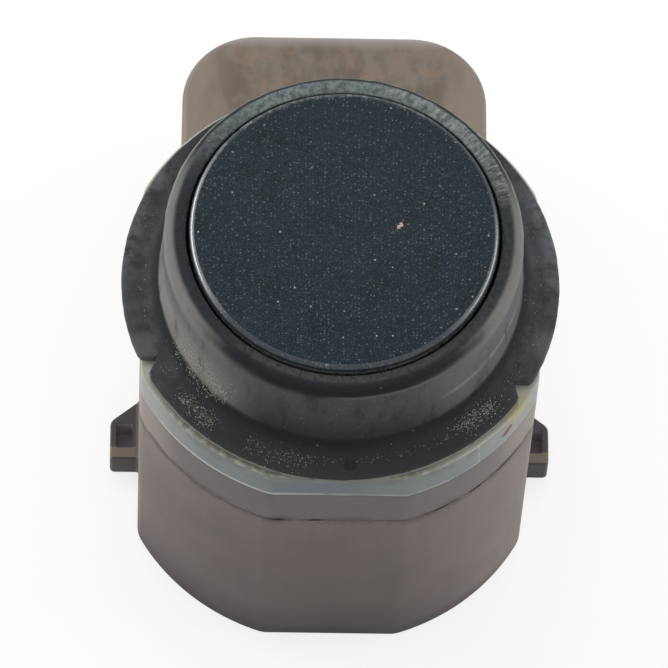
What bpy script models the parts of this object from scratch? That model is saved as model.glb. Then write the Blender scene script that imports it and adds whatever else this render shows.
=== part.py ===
"""A parking sensor: a painted cup in a rubber ring, held on a potted housing with a rear plug socket.

The origin is the centre of the painted face. +Z points out of the face and +Y towards the plug socket.
"""

from math import acos, asin, atan2, ceil, cos, pi, radians, sin, tan

import bmesh
import bpy

MM = 0.001

# Fineness of round shapes
TURN_STEPS = 96
PLUG_STEPS = 48
SMALL_STEPS = 24
HOLE_STEPS = 12
CORNER_STEP = radians(18)
PLAN_ARC_STEPS = 12
SQUARE_EDGE = radians(50)
SAME_PLACE = 0.001 * MM

# Clearances
FACE_GAP = 0.15 * MM
SEAT_GAP = 0.15 * MM
BOND_GAP = 0.10 * MM
SEAM_GAP = 0.20 * MM
HOLE_GAP = 0.12 * MM
SOLDER_GAP = 0.10 * MM

# Transducer cup
CUP_R = 7.74 * MM
CUP_LENGTH = 9.0 * MM
CUP_WALL = 1.1 * MM
CUP_EDGE_R = 0.32 * MM
MEMBRANE = 0.8 * MM
GROOVE_DROP = 6.4 * MM
GROOVE_HEIGHT = 0.9 * MM
GROOVE_DEPTH = 0.3 * MM

# Decoupling ring
FACE_PROUD = 0.45 * MM
RING_WALL = 1.11 * MM
RING_EDGE_R = 0.60 * MM
RING_FLARE = 0.18 * MM
FOOT_FILLET = 0.80 * MM
FLANGE_DROP = 5.79 * MM
FLANGE_THICK = 0.40 * MM
FLANGE_REACH = 2.07 * MM
FLANGE_EDGE_R = 0.12 * MM
SKIRT_WALL = 1.0 * MM
LIP_REACH = 1.4 * MM
LIP_THICK = 0.8 * MM
NOTCH_DEPTH = 0.78 * MM
NOTCH_SPREAD = radians(61.1)
NOTCH_EAR_SLOPE = radians(26)
NOTCH_LOBE_SLOPE = radians(43)
NOTCH_CORNER_R = 0.40 * MM
RING_TURN = radians(-3.3)

# Carrier plate, front frame and housing plan
FRAME_SIDE_WALL = 1.0 * MM
SIDE_CUT = 1.26 * MM
FRONT_CUT = 0.54 * MM
PLAN_CORNER_R = 1.5 * MM
PLATE_THICK = 1.92 * MM
FRAME_FLOOR = 1.05 * MM
EDGE_BREAK = 0.10 * MM
WALL = 1.3 * MM
TONGUE_DEPTH = 1.5 * MM
TONGUE_THICK = 0.8 * MM
LEDGE_WIDTH = 1.0 * MM
LEDGE_THICK = 1.2 * MM
REAR_EDGE_R = 0.15 * MM

# Plug socket on the housing
ROOF_THICK = 2.61 * MM
SOCKET_DEPTH = 7.3 * MM
SOCKET_HALF_WIDTH = 6.80 * MM
SOCKET_SPAN = 7.24 * MM
SOCKET_CORNER_R = 2.7 * MM
SHROUD_WALL = 1.2 * MM
SHROUD_EDGE_R = 0.35 * MM
DIVIDER = 1.5 * MM
LATCH_WIDTH = 4.0 * MM
LATCH_REACH = 0.8 * MM
LATCH_HEIGHT = 1.6 * MM
LATCH_RISE = 1.8 * MM
KEY_RIB_WIDTH = 0.8 * MM
KEY_RIB_REACH = 0.7 * MM
KEY_RIB_RECESS = 1.0 * MM
KEY_RIB_ROOT = 0.87 * MM

# Side lugs
LUG_HEIGHT = 1.76 * MM
LUG_REACH = 1.50 * MM
LUG_FRONT_Y = -1.60 * MM
LUG_REAR_Y = 1.80 * MM
LUG_CHAMFER = 1.25 * MM
LUG_CORNER_R = 0.25 * MM
LUG_SHOULDER_R = 0.55 * MM
LUG_FRONT_FILLET = 0.20 * MM
LUG_REAR_FILLET = 0.50 * MM
LUG_ROOT = 1.1 * MM
LUG_SINK = 0.05 * MM
POCKET_WALL = 0.32 * MM
POCKET_FRONT_BAR = 0.62 * MM
POCKET_REAR_BAR = 1.35 * MM
POCKET_FLOOR = 0.35 * MM

# Board and its blades
BOARD_THICK = 1.0 * MM
BOARD_CLEARANCE = 0.25 * MM
PIN_COUNT = 3
PIN_PITCH = 3.4 * MM
PIN_WIDTH = 0.8 * MM
PIN_THICK = 0.64 * MM
PIN_DROP = 1.28 * MM
PIN_INSET = 1.0 * MM
PIN_PROTRUSION = 0.5 * MM
PIN_TIP_RECESS = 3.0 * MM
PIN_TIP_TAPER = 0.5 * MM

# Inside the cup
DISC_R = 3.4 * MM
DISC_THICK = 0.4 * MM
LEAD_R = 0.15 * MM
CARRIER_THICK = 1.8 * MM
CARRIER_RECESS = 0.4 * MM
POST_R = 0.35 * MM
POST_SPREAD = 2.0 * MM
POST_PLACES = ((-POST_SPREAD, 0.0), (POST_SPREAD, 0.0))

# Step-up transformer
TRANSFORMER_BASE = 5.4 * MM
TRANSFORMER_BASE_THICK = 0.8 * MM
TRANSFORMER_CORNER_R = 0.4 * MM
CORE_FLANGE_R = 2.5 * MM
CORE_FLANGE_THICK = 0.7 * MM
CORE_HUB_R = 1.2 * MM
CORE_HEIGHT = 4.0 * MM
WINDING_MARGIN = 0.35 * MM

# Back of the housing
POTTING_RECESS = 0.8 * MM
POTTING_CLEARANCE = 0.9 * MM

# Parts soldered under the board: length, width and height
CHIP_SIZE = (4.6 * MM, 4.6 * MM, 0.9 * MM)
CRYSTAL_SIZE = (3.2 * MM, 2.5 * MM, 0.7 * MM)
STORAGE_SIZE = (3.2 * MM, 1.6 * MM, 1.6 * MM)
FILTER_SIZE = (2.0 * MM, 1.25 * MM, 0.9 * MM)
DIODE_SIZE = (2.7 * MM, 1.6 * MM, 1.1 * MM)
RESISTOR_SIZE = (1.6 * MM, 0.8 * MM, 0.45 * MM)
PART_SPACING = 0.5 * MM
COLUMN_GAP = 0.3 * MM

# Radii that follow from the cup outwards
RING_BORE_R = CUP_R + FACE_GAP
RING_R = RING_BORE_R + RING_WALL
FOOT_R = RING_R + RING_FLARE
FLANGE_R = RING_R + FLANGE_REACH
SKIRT_R = RING_BORE_R + SKIRT_WALL
SEAT_BORE_R = SKIRT_R + SEAT_GAP
CUP_BORE_R = CUP_R - CUP_WALL

# Housing plan: a circle cut by flats
HALF_WIDTH = SEAT_BORE_R + FRAME_SIDE_WALL
BODY_R = HALF_WIDTH + SIDE_CUT
HALF_DEPTH = BODY_R - FRONT_CUT

# Heights, from the painted face down to the rear rim
RING_TOP_Z = -FACE_PROUD
FLANGE_TOP_Z = -FLANGE_DROP
FLANGE_BOTTOM_Z = FLANGE_TOP_Z - FLANGE_THICK
PLATE_TOP_Z = FLANGE_BOTTOM_Z - SEAT_GAP
PLATE_BOTTOM_Z = PLATE_TOP_Z - PLATE_THICK
FRAME_TOP_Z = PLATE_BOTTOM_Z - BOND_GAP
LIP_TOP_Z = -CUP_LENGTH - FACE_GAP
LIP_BOTTOM_Z = LIP_TOP_Z - LIP_THICK
FLOOR_TOP_Z = LIP_BOTTOM_Z - SEAT_GAP
FRAME_BOTTOM_Z = FLOOR_TOP_Z - FRAME_FLOOR
BODY_TOP_Z = FRAME_BOTTOM_Z - SEAM_GAP
TONGUE_BOTTOM_Z = FRAME_BOTTOM_Z - TONGUE_DEPTH
LEDGE_TOP_Z = TONGUE_BOTTOM_Z - SEAT_GAP
LEDGE_BOTTOM_Z = LEDGE_TOP_Z - LEDGE_THICK
BOARD_TOP_Z = LEDGE_BOTTOM_Z - SEAT_GAP
BOARD_BOTTOM_Z = BOARD_TOP_Z - BOARD_THICK
PARTS_TOP_Z = BOARD_BOTTOM_Z - SOLDER_GAP
PIN_RUN_Z = BOARD_BOTTOM_Z - PIN_DROP - PIN_THICK / 2
SHROUD_TOP_Z = PIN_RUN_Z + ROOF_THICK / 2
SOCKET_TOP_Z = PIN_RUN_Z - ROOF_THICK / 2
REAR_Z = SOCKET_TOP_Z - SOCKET_DEPTH
CORE_TOP_Z = PARTS_TOP_Z - TRANSFORMER_BASE_THICK - SOLDER_GAP
POTTING_TOP_Z = CORE_TOP_Z - CORE_HEIGHT - POTTING_CLEARANCE
POTTING_BOTTOM_Z = REAR_Z + POTTING_RECESS

# The board's parts stand in columns that start this far from the line through the two posts
POST_KEEP = POST_R + HOLE_GAP + PART_SPACING

# Places along Y of the socket and its blades
SOCKET_NEAR_Y = HALF_DEPTH - WALL + DIVIDER
SOCKET_FAR_Y = SOCKET_NEAR_Y + SOCKET_SPAN
SHROUD_FAR_Y = SOCKET_FAR_Y + SHROUD_WALL
SHROUD_HALF_WIDTH = SOCKET_HALF_WIDTH + SHROUD_WALL
SHROUD_CORNER_R = SOCKET_CORNER_R + SHROUD_WALL
PIN_ROW_Y = (SOCKET_NEAR_Y + SOCKET_FAR_Y) / 2
PIN_LEG_Y = HALF_DEPTH - WALL - LEDGE_WIDTH - PIN_INSET
PIN_TOP_Z = BOARD_TOP_Z + PIN_PROTRUSION
PIN_TIP_Z = REAR_Z + PIN_TIP_RECESS

# How far a cutter reaches past the face that it opens
CUT_MARGIN = 1.0 * MM


def empty_scene():
    """Remove whatever the file holds and make the two collections."""
    for item in list(bpy.data.objects):
        bpy.data.objects.remove(item, do_unlink=True)
    for name in ("parking_sensor", "cutters"):
        collection = bpy.data.collections.new(name)
        bpy.context.scene.collection.children.link(collection)


def add_object(name, mesh, group="parking_sensor"):
    """Put a mesh in the scene as a named object."""
    item = bpy.data.objects.new(name, mesh)
    bpy.data.collections[group].objects.link(item)
    return item


def finish_part(item, colour, roughness, metallic=0.0):
    """Give a part its own material and smooth shading between its sharp edges."""
    material = bpy.data.materials.new(item.name)
    material.use_nodes = True
    shader = material.node_tree.nodes["Principled BSDF"]
    shader.inputs["Base Color"].default_value = (*colour, 1.0)
    shader.inputs["Roughness"].default_value = roughness
    shader.inputs["Metallic"].default_value = metallic
    item.data.materials.clear()
    item.data.materials.append(material)
    item.data.shade_smooth()
    item.data.set_sharp_from_angle(angle=radians(35))
    return item


# Outlines

def arc(centre_x, centre_y, radius, start, end, steps):
    """Points along an arc, both ends included."""
    turns = [start + (end - start) * i / steps for i in range(steps + 1)]
    return [(centre_x + radius * cos(a), centre_y + radius * sin(a)) for a in turns]


def circle(radius, steps, centre=(0.0, 0.0)):
    """A closed round outline."""
    return arc(*centre, radius, 0.0, 2 * pi * (steps - 1) / steps, steps - 1)


def rounded(corners):
    """A closed outline through (x, y, radius) corners, each rounded by its own radius."""
    outline = []
    for i, (x, y, radius) in enumerate(corners):
        if radius == 0.0:
            outline.append((x, y))
            continue
        before = corners[i - 1]
        after = corners[(i + 1) % len(corners)]
        back = atan2(before[1] - y, before[0] - x)
        ahead = atan2(after[1] - y, after[0] - x)
        opening = (ahead - back + pi) % (2 * pi) - pi
        middle = back + opening / 2
        away = radius / sin(abs(opening) / 2)
        centre = (x + away * cos(middle), y + away * sin(middle))
        side = 1.0 if opening > 0 else -1.0
        start = back - side * pi / 2
        sweep = -side * (pi - abs(opening))
        steps = max(2, ceil(abs(sweep) / CORNER_STEP))
        outline += arc(*centre, radius, start, start + sweep, steps)
    return outline


def rectangle(low_x, low_y, high_x, high_y, radius=0.0):
    """A rectangle's outline, with rounded corners if a radius is given."""
    corners = [(low_x, low_y), (high_x, low_y), (high_x, high_y), (low_x, high_y)]
    return rounded([(x, y, radius) for x, y in corners])


def plan(inset=0.0):
    """The housing's outline, moved in by inset: four arcs with a flat between each two."""
    radius = BODY_R - inset
    corner_r = max(PLAN_CORNER_R - inset, 0.0)
    low = acos((HALF_WIDTH - inset) / radius)
    high = asin((HALF_DEPTH - inset) / radius)
    corners = []
    for start, end in ((low, high), (pi - high, pi - low), (pi + low, pi + high), (-high, -low)):
        points = arc(0.0, 0.0, radius, start, end, PLAN_ARC_STEPS)
        ends = (points[0], points[-1])
        corners += [(x, y, corner_r if (x, y) in ends else 0.0) for x, y in points]
    return rounded(corners)


# Solids

def slab(name, loops, low, high, group="parking_sensor", along_x=False):
    """A flat outline with any holes, given thickness from low to high along Z, or along X."""
    curve = bpy.data.curves.new(name + "_outline", "CURVE")
    curve.dimensions = "2D"
    curve.fill_mode = "BOTH"
    curve.extrude = (high - low) / 2
    for loop in loops:
        spline = curve.splines.new("POLY")
        spline.points.add(len(loop) - 1)
        for point, (x, y) in zip(spline.points, loop):
            point.co = (x, y, 0.0, 1.0)
        spline.use_cyclic_u = True
    source = bpy.data.objects.new(name + "_outline", curve)
    bpy.context.scene.collection.objects.link(source)
    middle = (high + low) / 2
    source.location = (middle, 0.0, 0.0) if along_x else (0.0, 0.0, middle)
    source.rotation_euler = (pi / 2, 0.0, pi / 2) if along_x else (0.0, 0.0, 0.0)
    bpy.context.view_layer.update()
    mesh = bpy.data.meshes.new_from_object(source.evaluated_get(bpy.context.evaluated_depsgraph_get()))
    place = source.matrix_world.copy()
    bpy.data.objects.remove(source, do_unlink=True)
    weld(mesh)
    mesh.transform(place)
    return add_object(name, mesh, group)


def weld(mesh):
    """Join the loose caps of a filled outline to its sides."""
    shape = bmesh.new()
    shape.from_mesh(mesh)
    bmesh.ops.remove_doubles(shape, verts=shape.verts, dist=SAME_PLACE)
    bmesh.ops.dissolve_limit(shape, angle_limit=radians(1), verts=shape.verts, edges=shape.edges)
    bmesh.ops.recalc_face_normals(shape, faces=shape.faces)
    shape.to_mesh(mesh)
    shape.free()


def turned(name, profile, closed, steps=TURN_STEPS, group="parking_sensor", centre=(0.0, 0.0)):
    """A round solid from (radius, z) points that run down its outer side."""
    mesh = bpy.data.meshes.new(name)
    count = len(profile)
    edges = [(i, i + 1) for i in range(count - 1)]
    if closed:
        edges.append((count - 1, 0))
    mesh.from_pydata([(radius, 0.0, z) for radius, z in profile], edges, [])
    item = add_object(name, mesh, group)
    item.location = (*centre, 0.0)
    screw = item.modifiers.new("Turn", "SCREW")
    screw.steps = steps
    screw.render_steps = steps
    screw.use_merge_vertices = True
    screw.merge_threshold = SAME_PLACE
    screw.use_smooth_shade = True
    return item


def round_bar(name, radius, low, high, centre, steps=SMALL_STEPS, group="parking_sensor"):
    """A plain cylinder."""
    return turned(name, [(0.0, high), (radius, high), (radius, low), (0.0, low)], False, steps, group, centre)


def soften(item, width, segments=1, only_at=None):
    """Round a solid's square edges, or only those at one height."""
    bevel = item.modifiers.new("Edges", "BEVEL")
    bevel.width = width
    bevel.segments = segments
    if only_at is None:
        bevel.limit_method = "ANGLE"
        bevel.angle_limit = SQUARE_EDGE
        return
    bevel.limit_method = "WEIGHT"
    shape = bmesh.new()
    shape.from_mesh(item.data)
    weight = shape.edges.layers.float.new("bevel_weight_edge")
    for edge in shape.edges:
        level = max(abs(end.co.z - only_at) for end in edge.verts) < SAME_PLACE
        if level and edge.calc_face_angle() > SQUARE_EDGE:
            edge[weight] = 1.0
    shape.to_mesh(item.data)
    shape.free()


def combine(item, other, operation):
    """Join another solid to this one, or cut it away, and leave it as a guide."""
    boolean = item.modifiers.new(other.name, "BOOLEAN")
    boolean.operation = operation
    boolean.solver = "EXACT"
    boolean.object = other
    other.hide_render = True
    other.display_type = "WIRE"


def cut(item, cutter):
    combine(item, cutter, "DIFFERENCE")


def join(item, other):
    combine(item, other, "UNION")


# Transducer cup and what it holds

def make_cup():
    groove_top = -GROOVE_DROP
    groove_bottom = groove_top - GROOVE_HEIGHT
    profile = [(0.0, 0.0)]
    profile += arc(CUP_R - CUP_EDGE_R, -CUP_EDGE_R, CUP_EDGE_R, pi / 2, 0.0, 4)
    profile += [
        (CUP_R, groove_top),
        (CUP_R - GROOVE_DEPTH, groove_top),
        (CUP_R - GROOVE_DEPTH, groove_bottom),
        (CUP_R, groove_bottom),
        (CUP_R, -CUP_LENGTH),
        (CUP_BORE_R, -CUP_LENGTH),
        (CUP_BORE_R, -MEMBRANE),
        (0.0, -MEMBRANE),
    ]
    finish_part(turned("transducer_cup", profile, False), (0.02, 0.028, 0.038), 0.35)


def drilled_disc(name, wire_r, low, high):
    """A disc that fills the cup's bore, with a hole for each of the two leads or posts."""
    loops = [circle(CUP_BORE_R - SEAT_GAP, PLUG_STEPS)]
    loops += [circle(wire_r + HOLE_GAP, HOLE_STEPS, place) for place in POST_PLACES]
    return slab(name, loops, low, high)


def make_cup_contents():
    disc_top = -MEMBRANE - SOLDER_GAP
    disc_bottom = disc_top - DISC_THICK
    carrier_bottom = -CUP_LENGTH + CARRIER_RECESS
    carrier_top = carrier_bottom + CARRIER_THICK
    finish_part(round_bar("piezo_disc", DISC_R, disc_bottom, disc_top, (0.0, 0.0)), (0.75, 0.7, 0.55), 0.5)
    plug = drilled_disc("damping_plug", LEAD_R, carrier_top + SEAT_GAP, disc_bottom - SEAT_GAP)
    finish_part(plug, (0.55, 0.55, 0.53), 0.9)
    carrier = drilled_disc("contact_carrier", POST_R, carrier_bottom, carrier_top)
    finish_part(carrier, (0.03, 0.03, 0.03), 0.6)
    post_top = carrier_top - SOLDER_GAP
    post_bottom = BOARD_BOTTOM_Z - PIN_PROTRUSION
    lead_top = disc_bottom - SOLDER_GAP
    for side, place in zip(("left", "right"), POST_PLACES):
        lead = round_bar("piezo_lead_" + side, LEAD_R, carrier_top, lead_top, place, HOLE_STEPS)
        finish_part(lead, (0.7, 0.35, 0.15), 0.4, 1.0)
        post = round_bar("contact_post_" + side, POST_R, post_bottom, post_top, place, HOLE_STEPS)
        finish_part(post, (0.75, 0.72, 0.65), 0.3, 1.0)


# Decoupling ring

def flange_outline():
    """The flange's circle with two notches, each a wedge between an ear and the front lobe."""
    tip_r = FLANGE_R - NOTCH_DEPTH
    ear_spread = NOTCH_DEPTH * tan(NOTCH_EAR_SLOPE) / FLANGE_R
    lobe_spread = NOTCH_DEPTH * tan(NOTCH_LOBE_SLOPE) / FLANGE_R
    middle = -pi / 2 + RING_TURN
    left = middle - NOTCH_SPREAD
    right = middle + NOTCH_SPREAD
    step = 2 * pi / TURN_STEPS
    corners = []

    def corner(turn, radius, rounding):
        corners.append((radius * cos(turn), radius * sin(turn), rounding))

    def rim(start, end):
        """Points of the circle between two corners, ends left out."""
        steps = max(2, round((end - start) / step))
        for i in range(1, steps):
            corner(start + (end - start) * i / steps, FLANGE_R, 0.0)

    corner(left, tip_r, 0.0)
    corner(left + lobe_spread, FLANGE_R, NOTCH_CORNER_R)
    rim(left + lobe_spread, right - lobe_spread)
    corner(right - lobe_spread, FLANGE_R, NOTCH_CORNER_R)
    corner(right, tip_r, 0.0)
    corner(right + ear_spread, FLANGE_R, NOTCH_CORNER_R)
    rim(right + ear_spread, left - ear_spread + 2 * pi)
    corner(left - ear_spread, FLANGE_R, NOTCH_CORNER_R)
    return rounded(corners)


def make_ring():
    rib_top = -GROOVE_DROP - FACE_GAP
    rib_bottom = -GROOVE_DROP - GROOVE_HEIGHT + FACE_GAP
    rib_r = RING_BORE_R - GROOVE_DEPTH
    inside_flange_z = FLANGE_TOP_Z - FLANGE_THICK / 2
    wall_foot_z = FLANGE_TOP_Z + FOOT_FILLET
    profile = [(RING_BORE_R, RING_TOP_Z)]
    profile += arc(RING_R - RING_EDGE_R, RING_TOP_Z - RING_EDGE_R, RING_EDGE_R, pi / 2, 0.0, 4)
    profile += arc(FOOT_R + FOOT_FILLET, wall_foot_z, FOOT_FILLET, pi, 3 * pi / 2, 4)
    profile += [
        (FOOT_R + FOOT_FILLET, inside_flange_z),
        (SKIRT_R, inside_flange_z),
        (SKIRT_R, LIP_BOTTOM_Z),
        (CUP_R - LIP_REACH, LIP_BOTTOM_Z),
        (CUP_R - LIP_REACH, LIP_TOP_Z),
        (RING_BORE_R, LIP_TOP_Z),
        (RING_BORE_R, rib_bottom),
        (rib_r, rib_bottom),
        (rib_r, rib_top),
        (RING_BORE_R, rib_top),
    ]
    ring = turned("decoupling_ring", profile, True)
    inner = circle(RING_BORE_R + RING_WALL / 2, TURN_STEPS)
    flange = slab("ring_flange", [flange_outline(), inner], FLANGE_BOTTOM_Z, FLANGE_TOP_Z, "cutters")
    soften(flange, FLANGE_EDGE_R)
    join(ring, flange)
    finish_part(ring, (0.035, 0.038, 0.042), 0.65)


# Carrier plate and front frame

def make_carrier_plate():
    loops = [plan(), circle(SEAT_BORE_R, TURN_STEPS)]
    plate = slab("carrier_plate", loops, PLATE_BOTTOM_Z, PLATE_TOP_Z)
    soften(plate, EDGE_BREAK)
    finish_part(plate, (0.36, 0.40, 0.38), 0.4)


def make_front_frame():
    frame = slab("front_frame", [plan()], FRAME_BOTTOM_Z, FRAME_TOP_Z)
    soften(frame, EDGE_BREAK)
    tongue_inset = WALL + SEAT_GAP
    tongue_root = FRAME_BOTTOM_Z + FRAME_FLOOR / 2
    join(frame, slab("tongue", [plan(tongue_inset)], TONGUE_BOTTOM_Z, tongue_root, "cutters"))
    hollow = [plan(tongue_inset + TONGUE_THICK)]
    cut(frame, slab("tongue_hollow", hollow, TONGUE_BOTTOM_Z - CUT_MARGIN, FRAME_BOTTOM_Z, "cutters"))
    bore = [circle(SEAT_BORE_R, TURN_STEPS)]
    cut(frame, slab("frame_bore", bore, FLOOR_TOP_Z, FRAME_TOP_Z + CUT_MARGIN, "cutters"))
    for place in POST_PLACES:
        hole = [circle(POST_R + HOLE_GAP, HOLE_STEPS, place)]
        cut(frame, slab("post_hole", hole, FRAME_BOTTOM_Z - CUT_MARGIN, FLOOR_TOP_Z + CUT_MARGIN, "cutters"))
    finish_part(frame, (0.19, 0.165, 0.155), 0.55)


# Housing, with its socket and lugs moulded on

def shroud_outline():
    inside_y = SOCKET_NEAR_Y - SOCKET_SPAN
    return rounded([
        (-SHROUD_HALF_WIDTH, inside_y, 0.0),
        (SHROUD_HALF_WIDTH, inside_y, 0.0),
        (SHROUD_HALF_WIDTH, SHROUD_FAR_Y, SHROUD_CORNER_R),
        (-SHROUD_HALF_WIDTH, SHROUD_FAR_Y, SHROUD_CORNER_R),
    ])


def lug_outline(side):
    """A lug seen from above, with a fillet where each of its sides meets the housing's wall."""
    outer = HALF_WIDTH + LUG_REACH
    wall = HALF_WIDTH - LUG_SINK
    root = wall - LUG_ROOT
    front_root_y = LUG_FRONT_Y - LUG_FRONT_FILLET - LUG_SINK
    rear_root_y = LUG_REAR_Y + LUG_REAR_FILLET / 2 + LUG_SINK
    corners = [
        (root, front_root_y, 0.0),
        (wall, front_root_y, 0.0),
        (wall, LUG_FRONT_Y, LUG_FRONT_FILLET),
        (outer, LUG_FRONT_Y, LUG_CORNER_R),
        (outer, LUG_REAR_Y - LUG_CHAMFER, LUG_SHOULDER_R),
        (wall, LUG_REAR_Y, LUG_REAR_FILLET),
        (wall, rear_root_y, 0.0),
        (root, rear_root_y, 0.0),
    ]
    return rounded([(side * x, y, radius) for x, y, radius in corners])


def pocket_outline(side):
    inner = HALF_WIDTH + POCKET_WALL
    outer = HALF_WIDTH + LUG_REACH - POCKET_WALL
    edges = sorted((side * inner, side * outer))
    return rectangle(edges[0], LUG_FRONT_Y + POCKET_FRONT_BAR, edges[1], LUG_REAR_Y - POCKET_REAR_BAR)


def pin_outline(grow=0.0):
    """A blade seen from the side: up through the board, along the socket's roof and down into the socket."""
    half = PIN_THICK / 2 + grow
    top = PIN_TOP_Z + grow
    tip = PIN_TIP_Z - grow
    taper = PIN_TIP_TAPER
    return [
        (PIN_LEG_Y - half, top),
        (PIN_LEG_Y - half, PIN_RUN_Z - half),
        (PIN_ROW_Y - half, PIN_RUN_Z - half),
        (PIN_ROW_Y - half, tip + taper),
        (PIN_ROW_Y - half / 2, tip),
        (PIN_ROW_Y + half / 2, tip),
        (PIN_ROW_Y + half, tip + taper),
        (PIN_ROW_Y + half, PIN_RUN_Z + half),
        (PIN_LEG_Y + half, PIN_RUN_Z + half),
        (PIN_LEG_Y + half, top),
    ]


def pin_places():
    return [(i - (PIN_COUNT - 1) / 2) * PIN_PITCH for i in range(PIN_COUNT)]


def add_shroud(housing):
    shroud = slab("shroud", [shroud_outline()], REAR_Z, SHROUD_TOP_Z, "cutters")
    soften(shroud, SHROUD_EDGE_R, 2, SHROUD_TOP_Z)
    join(housing, shroud)
    low = REAR_Z + LATCH_RISE
    high = low + LATCH_HEIGHT
    root_y = SHROUD_FAR_Y - SHROUD_WALL / 2
    ramp = [(root_y, low), (SHROUD_FAR_Y, low), (SHROUD_FAR_Y + LATCH_REACH, high), (root_y, high)]
    join(housing, slab("latch_nose", [ramp], -LATCH_WIDTH / 2, LATCH_WIDTH / 2, "cutters", True))


def add_lugs(housing):
    for side in (-1, 1):
        join(housing, slab("lug", [lug_outline(side)], REAR_Z, REAR_Z + LUG_HEIGHT, "cutters"))
        pocket = [pocket_outline(side)]
        low = REAR_Z + POCKET_FLOOR
        cut(housing, slab("lug_pocket", pocket, low, REAR_Z + LUG_HEIGHT + CUT_MARGIN, "cutters"))


def hollow_housing(housing):
    """Cut the chamber below the board's ledge, the ledge's opening and the tongue's seat above it."""
    below = slab("rear_chamber", [plan(WALL)], REAR_Z - CUT_MARGIN, LEDGE_BOTTOM_Z, "cutters")
    through = [plan(WALL + LEDGE_WIDTH)]
    middle = slab("ledge_opening", through, LEDGE_BOTTOM_Z - CUT_MARGIN, BODY_TOP_Z + CUT_MARGIN, "cutters")
    above = slab("tongue_seat", [plan(WALL)], LEDGE_TOP_Z, BODY_TOP_Z + CUT_MARGIN, "cutters")
    for cutter in (below, middle, above):
        cut(housing, cutter)


def hollow_socket(housing):
    """Cut the plug socket, leave a key rib on each of its sides and cut a channel for each blade."""
    width = SOCKET_HALF_WIDTH
    hole = [rectangle(-width, SOCKET_NEAR_Y, width, SOCKET_FAR_Y, SOCKET_CORNER_R)]
    cut(housing, slab("socket", hole, REAR_Z - CUT_MARGIN, SOCKET_TOP_Z, "cutters"))
    half_rib = KEY_RIB_WIDTH / 2
    for side in (-1, 1):
        edges = sorted((side * (width - KEY_RIB_REACH), side * (width + SHROUD_WALL / 2)))
        rib = [rectangle(edges[0], PIN_ROW_Y - half_rib, edges[1], PIN_ROW_Y + half_rib)]
        join(housing, slab("key_rib", rib, REAR_Z + KEY_RIB_RECESS, SOCKET_TOP_Z + KEY_RIB_ROOT, "cutters"))
    half_pin = PIN_WIDTH / 2 + HOLE_GAP
    for place in pin_places():
        channel = [pin_outline(HOLE_GAP)]
        cut(housing, slab("pin_channel", channel, place - half_pin, place + half_pin, "cutters", True))


def make_housing():
    housing = slab("housing", [plan()], REAR_Z, BODY_TOP_Z)
    soften(housing, REAR_EDGE_R, 2, REAR_Z)
    add_shroud(housing)
    add_lugs(housing)
    hollow_housing(housing)
    hollow_socket(housing)
    finish_part(housing, (0.175, 0.15, 0.14), 0.55)


def make_pins():
    for number, place in enumerate(pin_places(), 1):
        low = place - PIN_WIDTH / 2
        pin = slab("socket_pin_%d" % number, [pin_outline()], low, low + PIN_WIDTH, along_x=True)
        finish_part(pin, (0.78, 0.74, 0.62), 0.3, 1.0)


# Board and what is soldered to it

def make_board():
    loops = [plan(WALL + BOARD_CLEARANCE)]
    loops += [circle(POST_R + HOLE_GAP, HOLE_STEPS, place) for place in POST_PLACES]
    half_width = PIN_WIDTH / 2 + HOLE_GAP
    low_y = PIN_LEG_Y - PIN_THICK / 2 - HOLE_GAP
    high_y = PIN_LEG_Y + PIN_THICK / 2 + HOLE_GAP
    loops += [rectangle(x - half_width, low_y, x + half_width, high_y) for x in pin_places()]
    finish_part(slab("circuit_board", loops, BOARD_BOTTOM_Z, BOARD_TOP_Z), (0.05, 0.22, 0.12), 0.5)


def board_column(side_x, side_y, start_x, parts):
    """Stand parts one after another, away from the posts, and finish each."""
    start_y = POST_KEEP
    for name, (length, width, height), colour in parts:
        x = side_x * (start_x + length / 2)
        y = side_y * (start_y + width / 2)
        outline = rectangle(x - length / 2, y - width / 2, x + length / 2, y + width / 2)
        item = slab(name, [outline], PARTS_TOP_Z - height, PARTS_TOP_Z)
        soften(item, EDGE_BREAK)
        finish_part(item, colour, 0.5)
        start_y += width + PART_SPACING


def make_board_parts():
    black = (0.03, 0.03, 0.035)
    tan_brown = (0.45, 0.33, 0.2)
    silver = (0.7, 0.68, 0.62)
    second_x = COLUMN_GAP + DIODE_SIZE[0] + PART_SPACING
    board_column(1, 1, COLUMN_GAP, [("control_chip", CHIP_SIZE, black)])
    board_column(-1, 1, COLUMN_GAP, [
        ("quartz_crystal", CRYSTAL_SIZE, silver),
        ("storage_capacitor", STORAGE_SIZE, tan_brown),
    ])
    board_column(1, -1, COLUMN_GAP, [
        ("diode", DIODE_SIZE, black),
        ("filter_capacitor_1", FILTER_SIZE, tan_brown),
        ("filter_capacitor_2", FILTER_SIZE, tan_brown),
    ])
    resistors = [("resistor_%d" % number, RESISTOR_SIZE, black) for number in (1, 2, 3)]
    board_column(1, -1, second_x, resistors)


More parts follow.
